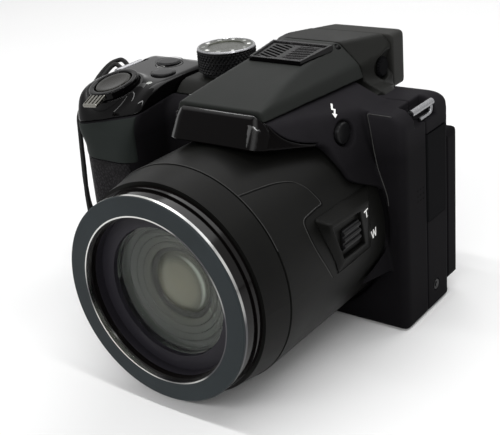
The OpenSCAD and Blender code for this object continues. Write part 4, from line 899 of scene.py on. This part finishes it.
GRILLE_SLOPE = math.radians(3.84)
GRILLE_FRONT, GRILLE_LEN, GRILLE_Z = -15.4, 15.0, 81.3
GRILLE_PITCH, GRILLE_LEAN, GRILLE_HALF_SLOT = 1.62, 0.42, 0.34


def in_grille(x, y, z):
    """Coordinates in the plane of the grille."""
    dy, dz = y - GRILLE_FRONT, z - GRILLE_Z
    c, s = math.cos(GRILLE_SLOPE), math.sin(GRILLE_SLOPE)
    return x - LENS_X, c * dy + s * dz, c * dz - s * dy


def grille_plan(x, y, z, gap, low, high):
    a, b, c = in_grille(x, y, z)
    sides = (np.abs(a) - (9 + 0.1067 * b) - gap) / 1.006
    return overlap(sides, -b - gap, b - GRILLE_LEN - gap, low - c, c - high)


def mic_grille(x, y, z):
    """Grille plate with a raised frame and two banks of slanted slots."""
    a, b, c = in_grille(x, y, z)
    d = grille_plan(x, y, z, -0.05, -1.15, 0.55)
    well = grille_plan(x, y, z, -1.1, 0.12, 5)
    lean = b - GRILLE_LEAN * np.abs(a)
    wave = np.abs((lean / GRILLE_PITCH) % 1.0 - 0.5) * GRILLE_PITCH
    bank = overlap(1.2 - np.abs(a), np.abs(a) - 7.6, np.abs(b - 7.4) - 5.2)
    return carve(d, (well, 0.35), (overlap(wave - GRILLE_HALF_SLOT, bank, -0.75 - c), 0.2))


POD_BASE_X, POD_X, POD_FLOOR = 47.6, 52.8, 51.5
POD_BASE = [(-43.1, 48.4), (-15.0, 48.2), (-9.4, 24.4), (-43.5, 22.4)]
POD_FACE = [(-43.0, 47.6), (-22.9, 46.5), (-24.5, 34.0), (-36.8, 34.3)]
POD_SLOT = [(-41.6, 46.3), (-27.8, 45.4), (-25.9, 35.0), (-36.8, 35.0)]
SLIDER_Y, SLIDER_Z, SLIDER_PITCH = (-36.6, -28.1), (37.2, 43.2), 1.9


def half_plane(y, z, a, b):
    """Distance outside the line from point a to point b, inside on its right."""
    across = (y - a[0]) * (a[1] - b[1]) + (z - a[1]) * (b[0] - a[0])
    return across / np.hypot(b[0] - a[0], b[1] - a[1])


def outline_side(x, y, z, i):
    """Distance outside one sloping side of the pod, between its base and its face."""
    t = np.clip((x - POD_BASE_X) / (POD_X - POD_BASE_X), -0.3, 1.1)
    ends = [[POD_BASE[j][k] * (1 - t) + POD_FACE[j][k] * t for k in (0, 1)] for j in (i, (i + 1) % 4)]
    return half_plane(y, z, *ends) * 0.75


def zoom_pod(x, y, z):
    """Side control housing: a low pyramid with a flat face and a slot for the slider."""
    d = x - POD_X
    for i in range(4):
        d = smax(d, outline_side(x, y, z, i), 0.7)
    d = overlap(d, BARREL_R + 0.06 - lens_radius(x, z), LENS_X + 20 - x)
    sides = [half_plane(y, z, POD_SLOT[i], POD_SLOT[(i + 1) % 4]) for i in range(4)]
    return cut(d, overlap(POD_FLOOR - x, *sides), 0.3)


def zoom_slider(x, y, z):
    """Ridged slider: a low block with three rounded ridges across it."""
    low, high = (POD_FLOOR + 0.05, SLIDER_Y[0], SLIDER_Z[0]), (POD_X - 0.5, SLIDER_Y[1], SLIDER_Z[1])
    d = block(x, y, z, low, high)
    middle = (SLIDER_Z[0] + SLIDER_Z[1]) / 2
    for k in (-1, 0, 1):
        d = smin(d, rod(x, z, y, (POD_X - 0.4, middle + k * SLIDER_PITCH), 0.6, *SLIDER_Y), 0.15)
    return d


EYECUP_RADII = (1, 1, 1.5, 1.5), (2, 2, 2.4, 2.4), (0.5, 1.0, 1.0, 0.5)
EYECUP_WELL_RADII = (1,) * 4, (3,) * 4, (1,) * 4
EYECUP_REAR, EYECUP_BORE_R, EYECUP_WELL_HALF, EYECUP_WELL_Y = 24.9, 7.1, 13, 19.2


def eyecup(x, y, z):
    low, high = (LENS_X - EVF_HALF, EVF_REAR, DECK - 2.8), (LENS_X + EVF_HALF, EYECUP_REAR, EVF_TOP)
    d = soft_box(x, y, z, low, high, EYECUP_RADII, 0.8)
    well = soft_box(x, y, z, (LENS_X - EYECUP_WELL_HALF, EYECUP_WELL_Y, DECK + 0.8),
                    (LENS_X + EYECUP_WELL_HALF, 60, EVF_TOP - 3.8), EYECUP_WELL_RADII, 1.0)
    bore = rod(x, z, y, (LENS_X, EVF_AXIS), EYECUP_BORE_R, 0, 60)
    return carve(d, (finder_shoulder(x, y, z), 1.0), (bore, 0.6), (well, 1.6))


LEVER_RI, LEVER_RO, LEVER_H, LEVER_END = 6.5, 8.5, 2.4, -13.2
TAB_HALF, TAB_PITCH, TAB_HALF_GROOVE = 3.2, 1.6, 0.35


def zoom_lever(x, y, z):
    """Ring round the shutter button, in its own frame."""
    r = np.sqrt(x ** 2 + y ** 2)
    ring = smax(r - LEVER_RO, LEVER_RI - r, 0.3)
    return overlap(smax(ring, z - LEVER_H, 0.7), 0.0 - z)


def lever_tab(x, y, z):
    """Finger tab at the front of the lever ring, with ridges across its top."""
    r = np.sqrt(x ** 2 + y ** 2)
    drop = 0.16 * np.maximum(-y - LEVER_RO, 0)
    tab = rrect(x, y, (-TAB_HALF, LEVER_END), (TAB_HALF, -7.2), (0.8, 0.8, 0.4, 0.4))
    tab = smax(tab, z - (LEVER_H - 0.3 - drop), 0.4)
    tab = overlap(tab, 0.5 - z, LEVER_RO - 0.3 - r)
    ribs = np.abs((x / TAB_PITCH) % 1.0 - 0.5) * TAB_PITCH - TAB_HALF_GROOVE
    return cut(tab, overlap(ribs, LEVER_H - 0.9 - drop - z, LEVER_END + 0.9 - y), 0.2)


# Meshes

def mesh_object(name, points, faces, normals=None):
    """Object from points in millimetres and lists of equal-sided faces."""
    mesh = bpy.data.meshes.new(name)
    points = np.asarray(points, np.float64)
    mesh.vertices.add(len(points))
    mesh.vertices.foreach_set("co", (points * MM).astype(np.float32).ravel())
    loops = np.concatenate([np.asarray(f).ravel() for f in faces]).astype(np.int32)
    totals = np.concatenate([np.full(len(f), np.asarray(f).shape[1]) for f in faces])
    starts = np.concatenate([[0], np.cumsum(totals)[:-1]]).astype(np.int32)
    mesh.loops.add(len(loops))
    mesh.loops.foreach_set("vertex_index", loops)
    mesh.polygons.add(len(totals))
    mesh.polygons.foreach_set("loop_start", starts)
    mesh.polygons.foreach_set("use_smooth", np.ones(len(totals), bool))
    mesh.update(calc_edges=True)
    mesh.validate()
    if normals is not None:
        mesh.normals_split_custom_set_from_vertices(normals.astype(np.float32))
    return show(name, mesh)


def gradient(field, points, h):
    """Unit gradient of a field at some points."""
    x, y, z = points.T
    g = np.stack([field(x + h, y, z) - field(x - h, y, z), field(x, y + h, z) - field(x, y - h, z),
                  field(x, y, z + h) - field(x, y, z - h)], axis=1)
    return g / np.maximum(np.linalg.norm(g, axis=1, keepdims=True), 1e-9)


def sculpt(name, field, low, high, cell):
    """Mesh of a field's surface inside a box, with normals from the field itself."""
    axes = [np.arange(a, b + cell, cell, dtype=np.float32) for a, b in zip(low, high)]
    x, y, z = axes[0][:, None, None], axes[1][None, :, None], axes[2][None, None, :]
    values = np.broadcast_to(field(x, y, z), [len(a) for a in axes]).astype(np.float32)
    grid = vdb.FloatGrid()
    grid.background = 1.0
    grid.copyFromArray(np.ascontiguousarray(values))
    points, triangles, quads = grid.convertToPolygons(isovalue=0.0, adaptivity=0.02)
    points = np.asarray(points, np.float64) * cell + np.array(low)
    normals = gradient(field, points, cell * 0.4)
    faces = [np.asarray(f) for f in (triangles, quads) if len(f)]
    a, b, c = (points[faces[-1][:, i]] for i in range(3))
    if np.sum(np.cross(b - a, c - a) * normals[faces[-1][:, 0]]) < 0:
        faces = [f[:, ::-1] for f in faces]
    return mesh_object(name, points, faces, normals)


def apply(place, points):
    m = np.array(place)
    return np.asarray(points) @ m[:3, :3].T + m[:3, 3]


def round_angles(sides):
    return np.arange(sides) * 2 * math.pi / sides


def lathe(name, outline, place, sides=96, sharp=32):
    """Turned piece from rows of a radius and a height. A radius may be one number for each side."""
    turns = round_angles(sides)
    rows = []
    for r, h in outline:
        rows.append(np.stack([r * np.cos(turns), r * np.sin(turns), np.full(sides, h)], axis=1))
    a = np.arange(sides)
    b = (a + 1) % sides
    ring = np.stack([a, b, b + sides, a + sides], axis=1)
    quads = np.concatenate([ring + i * sides for i in range(len(outline) - 1)])
    obj = mesh_object(name, apply(place, np.concatenate(rows)), [quads])
    bm = bmesh.new()
    bm.from_mesh(obj.data)
    bmesh.ops.remove_doubles(bm, verts=bm.verts, dist=1e-6)
    bmesh.ops.recalc_face_normals(bm, faces=bm.faces)
    bm.to_mesh(obj.data)
    bm.free()
    obj.data.set_sharp_from_angle(angle=math.radians(sharp))
    return obj


def flat_shape(name, outline, place, thick=0.08):
    """Thin plate from a flat outline, drawn in its own plane."""
    n = len(outline)
    bm = bmesh.new()
    base, top = ([bm.verts.new(Vector(p) * MM) for p in apply(place, [(a, b, h) for a, b in outline])]
                 for h in (0.0, thick))
    bm.faces.new(top)
    bm.faces.new(base[::-1])
    for i in range(n):
        bm.faces.new((base[i], base[(i + 1) % n], top[(i + 1) % n], top[i]))
    bmesh.ops.recalc_face_normals(bm, faces=bm.faces)
    mesh = bpy.data.meshes.new(name)
    bm.to_mesh(mesh)
    bm.free()
    return show(name, mesh)


def facing(direction, at):
    """Matrix that turns local Z to a direction and moves to a point."""
    turn = Vector(direction).to_track_quat("Z", "Y").to_matrix().to_4x4()
    return Matrix.Translation(at) @ turn


def paint(obj, material):
    """Puts one material on all of an object's slots."""
    if not obj.data.materials:
        obj.data.materials.append(material)
    for i in range(len(obj.data.materials)):
        obj.data.materials[i] = material
    return obj


def use(obj, body, material, slot, *nodes):
    """Paints a piece, puts it under its body and hides the solids that it stands for; the slot is not used.
    """
    paint(obj, material)
    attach(obj, body)
    if nodes:
        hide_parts(*nodes)
    return obj


# Covers: name, field, box, cell, body, material, slot and the solid that each stands for

COVERS = [
    ("front_shell", front_cover, (-59, -45, -1), (59, 3, 75), 0.4, "body", SHELL, "shell", "front_cover"),
    ("rear_shell", rear_cover, (-59, 1.5, -1), (59, 18, 69), 0.4, "body", SHELL, "shell", "rear_cover"),
    ("top_shell", top_cover, (-29, -14, 62), (43, 18.5, 85), 0.4, "body", DECK_BLACK, "shell", "top_cover"),
    ("cap_shell", grip_cap, (-59, -33, 54), (-26, 18, 73), 0.35, "body", GLOSS, "gloss", "grip_cap"),
    ("cap_band", grip_band, (-59, -33, 46), (-26, 3, 70), 0.3, "body", BAND, "rubber"),
    ("grip_panel", grip_rubber, (-59, -33, 3), (-29, -9, 48), 0.35, "body", GRAINED, "rubber",
     "grip_rubber"),
    ("thumb_strip", thumb_pad, (-51, 15, 14), (-46, 18.5, 49), 0.3, "body", RUBBER, "rubber"),
    ("front_plate", fascia, (-12, -50, 58), (50, -22, 78), 0.25, "body", PLATE, "gloss", "fascia"),
    ("lid_shell", flash_lid, (-1, -44, 71), (38.5, 6, 84.5), 0.35, "flash", SATIN, "shell", "flash_lid"),
    ("lid_grille", mic_grille, (7, -17.5, 79), (30.5, 1.5, 84.5), 0.16, "flash", GLOSS, "gloss",
     "mic_grille"),
    ("pod_shell", zoom_pod, (38, -47, 20), (53.5, -11, 51), 0.25, "body", BARREL, "shell", "zoom_pod"),
    ("pod_slider", zoom_slider, (51, -37.2, 36.5), (53.6, -27.5, 44), 0.12, "side_slider", KEY, "shell",
     "zoom_slider"),
    ("eye_cup", eyecup, (-3, 16.5, 64.5), (40.5, 26, 85), 0.35, "body", CUP, "rubber", "eyecup"),
]


def make_covers():
    for name, field, low, high, cell, *rest in COVERS:
        use(sculpt(name, field, low, high, cell), *rest)


# Controls

KEY_DEPTH, FLANGE, FLANGE_H = 3.3, 0.5, 0.8
DIAL_TEETH, DIAL_SIDES, DIAL_ROWS, DIAL_TOOTH, DIAL_PITCH = 44, 528, 30, 0.6, 1.7
KNURL_LOW, KNURL_HIGH = 1.4, DIAL_H - 0.9
DIAL_MARKS, DIAL_MARK_R = 10, 7.4
FLASH_KEY_OUT, KNOB_OUT = 23.6, 18.3
SHUTTER_R, SHUTTER_PROUD, SHUTTER_DEPTH, SHUTTER_DISH = 6.1, 2.6, 1.6, -0.35
POWER_RING, BURST_RING, BURST_RING_AT = (4.6, 4.85), (0.9, 1.3), (-39.5, 0.4)
PROUD, SUNK = 0.7, -0.3
LEVER_LIFT = 0.3


def button(name, node, body, place, r, proud, depth, material, dish):
    """Round button with a rolled edge, crowned or dished, and a flange at its foot."""
    roll = min(0.6, r * 0.2)
    outline = [(0, -depth), (r + FLANGE, -depth), (r + FLANGE, -depth + FLANGE_H), (r, -depth + FLANGE_H),
               (r, proud - roll)]
    for i in range(1, 6):
        a = i * math.pi / 10
        outline.append((r - roll + roll * math.cos(a), proud - roll + roll * math.sin(a)))
    for t in (0.8, 0.55, 0.3, 0.0):
        outline.append(((r - roll) * t, proud + dish * (1 - t * t)))
    return use(lathe(name, outline, place), body, material, "shell", node)


def cap_ring(name, centre, inner, outer, material):
    """Flat ring lying on the grip's cap."""
    ring = [(inner, 0), (inner, 0.06), (outer, 0.06), (outer, 0)]
    place = Matrix.Translation((*centre, CAP_TOP))
    use(lathe(name, ring, place, 48), "body", material, "gloss")


def triangle_wave(turns, along):
    return np.abs(((turns * DIAL_TEETH + along) / (2 * math.pi)) % 1 - 0.5) * 2


def knurled_dial():
    """Mode dial: diamond knurl, bright chamfer and a turned top with marks."""
    r, h = DIAL_R, DIAL_H
    turns = round_angles(DIAL_SIDES)
    knurl = []
    for height in np.linspace(KNURL_LOW, KNURL_HIGH, DIAL_ROWS):
        along = height * 2 * math.pi / DIAL_PITCH
        tooth = np.minimum(triangle_wave(turns, along), triangle_wave(turns, -along))
        knurl.append((r - DIAL_TOOTH + DIAL_TOOTH * tooth * 1.25, height))
    place = Matrix.Translation((*DIAL, DECK))
    use(lathe("dial_knurl", knurl, place, DIAL_SIDES, 30), "mode", KEY, "gloss", "mode_dial")
    foot = [(0, -4.9), (2.45, -4.9), (2.45, 0.2), (r - 1.2, 0.2), (r - 1.2, 1.1), (r - 0.7, 1.4),
            (r - 0.4, 1.45)]
    use(lathe("dial_foot", foot, place), "mode", KEY, "gloss")
    edge = [(r - 0.6, KNURL_HIGH - 0.05), (r - 0.1, KNURL_HIGH + 0.08), (r - 0.12, h - 0.45)]
    use(lathe("dial_edge", edge, place, 128, 20), "mode", KEY, "gloss")
    rim = [(r - 0.12, h - 0.45), (r - 0.35, h - 0.12), (r - 0.7, h), (r - 0.85, h - 0.15)]
    use(lathe("dial_rim", rim, place, 128, 20), "mode", STEEL, "chrome")
    top = [(r - 0.85, h - 0.15), (6.1, h - 0.22), (5.9, h - 0.5), (5.6, h - 0.55), (3, h - 0.5),
           (0, h - 0.48)]
    use(lathe("dial_top", top, place, 128, 12), "mode", TURNED, "alloy")
    for i in range(DIAL_MARKS):
        angle = i * 2 * math.pi / DIAL_MARKS
        turn = place @ Matrix.Rotation(angle, 4, "Z") @ Matrix.Translation((DIAL_MARK_R, 0, h - 0.2))
        half = 0.75 if i % 3 else 0.45
        mark = [(-0.55, -half), (0.55, -half), (0.55, half), (-0.55, half)]
        use(flat_shape("dial_mark_%d" % i, mark, turn), "mode", WHITE if i % 2 else PALE, "chrome")


def shutter_and_lever():
    """Shutter button on its stem, with the lever's ring and tab round it."""
    shutter = shutter_frame()
    button("shutter_key", "shutter_button", "shutter", shutter, SHUTTER_R, SHUTTER_PROUD, SHUTTER_DEPTH,
           OLIVE, SHUTTER_DISH)
    stem = [(0, -4.6), (3, -4.6), (3, -1.5), (0, -1.5)]
    use(lathe("shutter_stem", stem, shutter, 48), "shutter", KEY, "gloss")
    lift = shutter @ Matrix.Translation((0, 0, LEVER_LIFT))
    lift.translation = lift.translation * MM
    ring = sculpt("lever_ring", zoom_lever, (-9.2, -9.2, -1), (9.2, 9.2, 3.2), 0.16)
    ring.data.transform(lift)
    use(ring, "lever", GLOSS, "gloss", "zoom_lever")
    tab = sculpt("lever_tab", lever_tab, (-4, -14, -1), (4, -6.5, 3), 0.12)
    tab.data.transform(lift)
    use(tab, "lever", TAB_METAL, "alloy")


def rear_controls():
    """Keys on the back, and the selector with the key in its middle."""
    for node, (centre, radius) in REAR_KEYS.items():
        proud = SUNK if node in FLUSH_KEYS else PROUD
        place = facing((0, 1, 0), (centre[0], REAR, centre[1]))
        button(node.replace("button", "cap"), node, node.replace("button", "key"), place, radius, proud,
               KEY_DEPTH, KEY, 0.2)
    place = facing((0, 1, 0), (SELECTOR[0], REAR, SELECTOR[1]))
    button("ok_cap", "ok_button", "ok_key", place, OK_R, 1.7, KEY_DEPTH, KEY, 0.1)
    ring = [(OK_R + 0.1, -2.6), (OK_R + 1.3, -2.6), (OK_R + 1.3, -1), (SELECTOR_R, -1), (SELECTOR_R, 0.5),
            (SELECTOR_R - 0.4, 1.0), (SELECTOR_R - 1.2, 1.2), (OK_R + 1.4, 0.85), (OK_R + 0.3, 1.1),
            (OK_R + 0.1, 0.9), (OK_R + 0.1, -2.6)]
    use(lathe("selector_ring", ring, place), "selector", KEY, "shell", "multi_selector")


def gear(name, r, depth, teeth, low, high, place):
    """Ribbed wheel with chamfered faces."""
    sides = teeth * 6
    wave = np.clip(np.cos(round_angles(sides) * teeth) * 1.6, -1, 1) * 0.5 + 0.5
    rim = r - depth * (1 - wave)
    rows = [(0, low), (rim - 0.5, low), (rim, low + 0.45)]
    rows += [(rim, high - 0.45), (rim - 0.5, high), (0, high)]
    return lathe(name, rows, place, sides, 30)


def make_controls():
    knurled_dial()
    shutter_and_lever()
    for name, centre in (("power", POWER), ("burst", BURST)):
        place = Matrix.Translation((*centre, CAP_TOP))
        key = name + "_key"
        button(key, name + "_button", key, place, TOP_BUTTON_R, 0.2, KEY_DEPTH, KEY, 0.05)
    cap_ring("power_ring", POWER, *POWER_RING, KEY)
    cap_ring("burst_ring", BURST_RING_AT, *BURST_RING, DIM)
    rear_controls()
    place = facing((1, 0, 0), (LENS_X, *FLASH_BUTTON)) @ Matrix.Translation((0, 0, FLASH_KEY_OUT))
    button("flash_cap", "flash_button", "flash_key", place, FLASH_BUTTON_R, 0.35, 3.2, KEY, 0.35)
    wheel = gear("thumb_wheel", WHEEL_R, 0.5, 40, *WHEEL_Z, Matrix.Translation((*WHEEL, 0)))
    use(wheel, "command", RUBBER, "rubber", "command_dial")
    place = facing((1, 0, 0), (LENS_X + KNOB_OUT, *DIOPTER))
    knob = gear("diopter_knob", DIOPTER_R, 0.35, 22, 0.2, 1.3, place)
    use(knob, "diopter", RUBBER, "rubber", "diopter_dial")


# Marks and small fittings

BOLT = [(-0.6, 3.1), (0.0, 3.1), (-0.15, 0.95), (0.62, 0.95), (0.3, -1.25), (0.85, -1.25), (0.0, -3.1),
        (-0.75, -1.25), (-0.22, -1.25), (0.0, 0.3), (-0.75, 0.3)]
LETTER_T = [(-1.05, 1.25), (1.05, 1.25), (1.05, 0.85), (0.24, 0.85), (0.24, -1.25), (-0.24, -1.25),
            (-0.24, 0.85), (-1.05, 0.85)]
LETTER_W = [(-1.5, 1.25), (-1.05, 1.25), (-0.68, -0.5), (-0.22, 1.25), (0.22, 1.25), (0.68, -0.5),
            (1.05, 1.25), (1.5, 1.25), (0.92, -1.25), (0.48, -1.25), (0.0, 0.5), (-0.48, -1.25),
            (-0.92, -1.25)]
PLAY = [(-0.7, 0.9), (0.9, 0.0), (-0.7, -0.9)]
HOLE_R, HOLE_PITCH = 0.35, 1.7


def on_surface(field, start, direction, reach=30.0):
    """First point of a field's surface on a line."""
    t = np.linspace(0, reach, 3001)
    line = np.array(start) + t[:, None] * np.array(direction)
    return line[np.argmax(field(*line.T) < 0)]


def mark_on(name, field, start, direction, outlines, material, spin=0.0, lift=0.02):
    """Lays flat outlines on a field's surface, where a line meets it."""
    at = on_surface(field, start, direction)
    normal = gradient(field, at[None, :], 0.3)[0]
    side = np.cross((0, 0, 1), normal)
    side = side / np.linalg.norm(side)
    axes = Matrix((side, np.cross(normal, side), normal)).transposed().to_4x4()
    turn = Matrix.Rotation(math.radians(spin), 4, "Z")
    place = Matrix.Translation(at + normal * lift) @ axes @ turn
    for i, outline in enumerate(outlines):
        use(flat_shape("%s_%d" % (name, i), outline, place, 0.05), "body", material, "chrome")


def disc(r, at=(0.0, 0.0), sides=20):
    angles = [2 * math.pi * i / sides for i in range(sides)]
    return [(at[0] + r * math.cos(a), at[1] + r * math.sin(a)) for a in angles]


def barrel_side(x, y, z):
    """Surface of the barrel and of the pod on it, for the letters."""
    return union(zoom_pod(x, y, z), lens_radius(x, z) - BARREL_R)


def rear_key(node):
    """Flat top of a rear button, for its mark."""
    centre, radius = REAR_KEYS[node]
    return lambda x, y, z: rod(x, z, y, centre, radius, 0, REAR + 0.9)


def make_marks():
    mark_on("flash_mark", front_cover, (60, -18.5, 69.7), (-1, 0, 0), [BOLT], WHITE, -44, 0.08)
    mark_on("tele_mark", barrel_side, (60, -24.9, 43.7), (-1, 0, 0), [LETTER_T], WHITE, 12, 0.05)
    mark_on("wide_mark", barrel_side, (60, -18.6, 34.7), (-1, 0, 0), [LETTER_W], WHITE, 8, 0.05)
    steps = (-HOLE_PITCH, 0.0, HOLE_PITCH)
    holes = [disc(HOLE_R, (a, b), 10) for a in steps for b in steps]
    # Speaker holes drawn as flat dark discs: painted shade.
    mark_on("speaker_dot", front_cover, (70, -1.5, 41), (-1, 0, 0), holes, RECESS_SHADE)
    mark_on("power_lamp", grip_cap, (-32.6, -13.7, 80), (0, 0, -1), [disc(1.0)], PALE)
    mark_on("playback_mark", rear_key("playback_button"), (-26.05, 25, 45), (0, -1, 0), [PLAY], WHITE)


def fine_line(name, points, per_span, radius, material, slot):
    """Smooth fine wire on the body."""
    use(wire(name, through(points, per_span), radius), "body", material, slot)


def eyelet_ring():
    """Wire below the left strap bar, bent round to its rear end."""
    x = LEFT - 1.7
    path = [(x, 7.6, 66.2), (x + 0.15, 7.8, 65.0), (x + 0.2, 7.4, 63.7), (x + 0.2, 6.2, 63.2),
            (x + 0.2, 3.0, 63.1), (x + 0.2, 0.6, 63.1)]
    fine_line("strap_wire", path, 6, 0.6, STEEL, "chrome")


BEAD_SPOTS = [(-60.7, 55.8), (-57.7, 55.0), (-51.8, 53.4), (-46.7, 51.5), (-42.0, 48.0), (-39.0, 42.4),
              (-37.8, 36.3), (-37.4, 32.0), (-40.3, 31.5), (-43.1, 31.0), (-46.0, 30.4), (-47.3, 28.6),
              (-47.6, 24.1), (-47.2, 17.7), (-45.8, 10.5), (-43.6, 3.1), (-41.2, -4.0)]
BEAD_TURN = 8
RIM_Y = -60.75
PANEL_EDGE = [(46.7, 66.9), (47.1, 64.9), (47.65, 61.5), (48.1, 58.1), (48.7, 54.7), (49.4, 51.8),
              (50.3, 49.2), (51.25, 46.6), (52.1, 43.6), (52.5, 40.6)]
PANEL_TOP = [54.0, 52.5, 50.5, 48.5, 46.9]


def on_barrel(spots, out):
    """Points on the barrel from places along the axis and angles round it."""
    r = BARREL_R + out
    turned = [(y, math.radians(angle)) for y, angle in spots]
    return [(LENS_X + r * math.cos(a), y, LENS_Z + r * math.sin(a)) for y, a in turned]


def barrel_line():
    """Fine moulded line on the barrel that turns down along the pod, its groove, and the rim's bead. The
    line and the rim's bead are pale wires that paint highlights; the groove is a dark wire that paints its
    shade.
    """
    fine_line("barrel_bead", on_barrel(BEAD_SPOTS, -0.02), 8, 0.14, PAINTED_HIGHLIGHT, "shell")
    rim = [(RIM_Y, angle) for angle in range(25, 140, 5)]
    fine_line("barrel_rim", on_barrel(rim, -0.02), 4, 0.12, PAINTED_HIGHLIGHT, "shell")
    beside = [(y + 0.45, a - 0.75) for y, a in BEAD_SPOTS[:BEAD_TURN]]
    beside += [(y + 0.5, a - 0.6) for y, a in BEAD_SPOTS[BEAD_TURN:]]
    fine_line("barrel_groove", on_barrel(beside, -0.1), 8, 0.2, RECESS_SHADE, "shell")


def panel_line():
    """Pale fine wire along the edge of the front panel beside the hump: a painted highlight on that edge.
    """
    top = [on_surface(front_cover, (x, -16.5, 72.5), (0, 0.7071, -0.7071)) for x in PANEL_TOP]
    side = [on_surface(front_cover, (x, -20, z), (0, 1, 0)) for x, z in PANEL_EDGE]
    fine_line("panel_bead", top + side, 5, 0.16, PAINTED_HIGHLIGHT, "shell")


CROSS_ARM, CROSS_HALF = 0.9, 0.22


def screw_heads():
    """Cross recesses on the screw heads, drawn as flat dark crosses: painted shade."""
    a, h = CROSS_ARM, CROSS_HALF
    cross = [(-a, -h), (-h, -h), (-h, -a), (h, -a), (h, -h), (a, -h),
             (a, h), (h, h), (h, a), (-h, a), (-h, h), (-a, h)]
    spots = [((x, y, 0.25), (0, 0, -1)) for x, y in BASE_SCREWS]
    spots.append(((LEFT - 0.25, *SIDE_SCREW), (1, 0, 0)))
    for i, (at, direction) in enumerate(spots):
        use(flat_shape("screw_cross_%d" % i, cross, facing(direction, at), 0.03), "body", RECESS_SHADE, "steel")


INNER_LENS = [(0, 66.4), (2, 66.35), (4, 66.2), (6, 65.85), (8, 65.3), (9, 64.5), (9.8, 64.5), (10.4, 65.3),
              (12, 65.75), (12.15, 65.6), (12.3, 65.8), (14, 66.2), (14.15, 66.05), (14.3, 66.25),
              (16, 66.75), (16.15, 66.6), (16.3, 66.85), (18.7, 67.7), (18.7, 64.05), (0, 64.05)]
DOME_STEPS = 16


def lens_parts():
    """Domed front glass and the tinted element behind it, which carries painted light and reflections."""
    axis = facing((0, -1, 0), (LENS_X, 0, LENS_Z))
    dome = []
    for i in range(DOME_STEPS + 1):
        r = GLASS_R * i / DOME_STEPS
        dome.append((r, GLASS_FRONT - GLASS_CURVE + math.sqrt(GLASS_CURVE ** 2 - r ** 2)))
    outline = dome + [(GLASS_R, GLASS_REAR), (0, GLASS_REAR)]
    use(lathe("front_glass", outline, axis, 128, 40), "front", GLASS, "glass", "front_element")
    use(lathe("inner_lens", INNER_LENS, axis, 128, 25), "front", BOWL, "glass")


# Solids that keep their own shape

CAD_LOOKS = [
    (BARREL, "fixed_barrel"),
    (LENS_FRONT, "middle_barrel front_barrel"),
    (RING_FACE, "name_ring"),
    (TRIM, "trim_rings"),
    (INNER, "zoom_group focus_group cam_ring lens_frame aperture_unit battery_box battery"),
    (BOARD, "image_sensor main_board switch_boards"),
    (STEEL, "zoom_motor chassis eyelets monitor_arm"),
    (KEY, "memory_card hinge_pins screws"),
    (BRASS, "tripod_socket"),
    (RECESS_SHADE, "speaker"),
    (GLASS, "eyepiece_lens"),
    (SCREEN, "viewfinder_display monitor_screen"),
    (BLUE_GLASS, "flash_head"),
    (SHELL, "monitor_frame battery_door"),
    (RUBBER, "connector_cover"),
]


def paint_solids():
    paint(leash, CORD)
    for material, nodes in CAD_LOOKS:
        for node in nodes.split():
            paint(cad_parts[node], material)


# Light

DIFFUSE_LIGHT = 0.4
FLOOR_HALF, FLOOR_Z = 6.0, -0.0002
LAMP_LENGTH = 1.2


def make_world():
    """White surroundings, dimmer where they light the object than where they are seen."""
    world = bpy.data.worlds.new("studio")
    bpy.context.scene.world = world
    world.use_nodes = True
    tree = world.node_tree
    path = tree.nodes.new("ShaderNodeLightPath")
    seen = path.outputs["Is Camera Ray"]
    for ray in ("Is Transmission Ray", "Is Glossy Ray"):
        either = tree.nodes.new("ShaderNodeMath")
        either.operation = "MAXIMUM"
        tree.links.new(seen, either.inputs[0])
        tree.links.new(path.outputs[ray], either.inputs[1])
        seen = either.outputs[0]
    level = tree.nodes.new("ShaderNodeMapRange")
    level.inputs["To Min"].default_value = DIFFUSE_LIGHT
    level.inputs["To Max"].default_value = 1.0
    tree.links.new(seen, level.inputs["Value"])
    back = tree.nodes["Background"]
    tree.links.new(level.outputs["Result"], back.inputs["Strength"])
    back.inputs["Color"].default_value = (1, 1, 1, 1)


def add_floor():
    bm = bmesh.new()
    bmesh.ops.create_grid(bm, x_segments=2, y_segments=2, size=FLOOR_HALF)
    mesh = bpy.data.meshes.new("floor")
    bm.to_mesh(mesh)
    bm.free()
    floor = show("floor", mesh)
    floor.location = (0, 0, FLOOR_Z)
    n = Nodes("floor_white")
    n.feed(Base_Color=n.mottle(n.noise(3.0), shade(FULL, 0.9), shade(FULL, 0.92)))
    n.set(Roughness=0.9, Specular_IOR_Level=0.1)
    paint(floor, n.material)


def add_lamp(name, place, target, width, power):
    """Long soft lamp that points at a place on the object."""
    data = bpy.data.lights.new(name, "AREA")
    data.shape = "RECTANGLE"
    data.size = LAMP_LENGTH
    data.size_y = width
    data.energy = power
    lamp = show(name, data)
    lamp.location = place
    lamp.rotation_euler = (Vector(target) - Vector(place)).to_track_quat("-Z", "Y").to_euler()


def make_light():
    make_world()
    add_floor()
    add_lamp("front_strip", (0.16, -0.7, 0.55), (0.0, -0.02, 0.04), 0.05, 3.5)
    add_lamp("top_strip", (0.0, -0.16, 0.85), (0.0, -0.02, 0.04), 0.035, 3.7)
    add_lamp("rear_strip", (0.0, 0.5, 0.75), (0.0, 0.0, 0.05), 0.3, 3.3)


make_covers()
make_controls()
make_marks()
eyelet_ring()
barrel_line()
panel_line()
screw_heads()
lens_parts()
paint_solids()
make_light()
bpy.context.scene.view_settings.view_transform = "Standard"
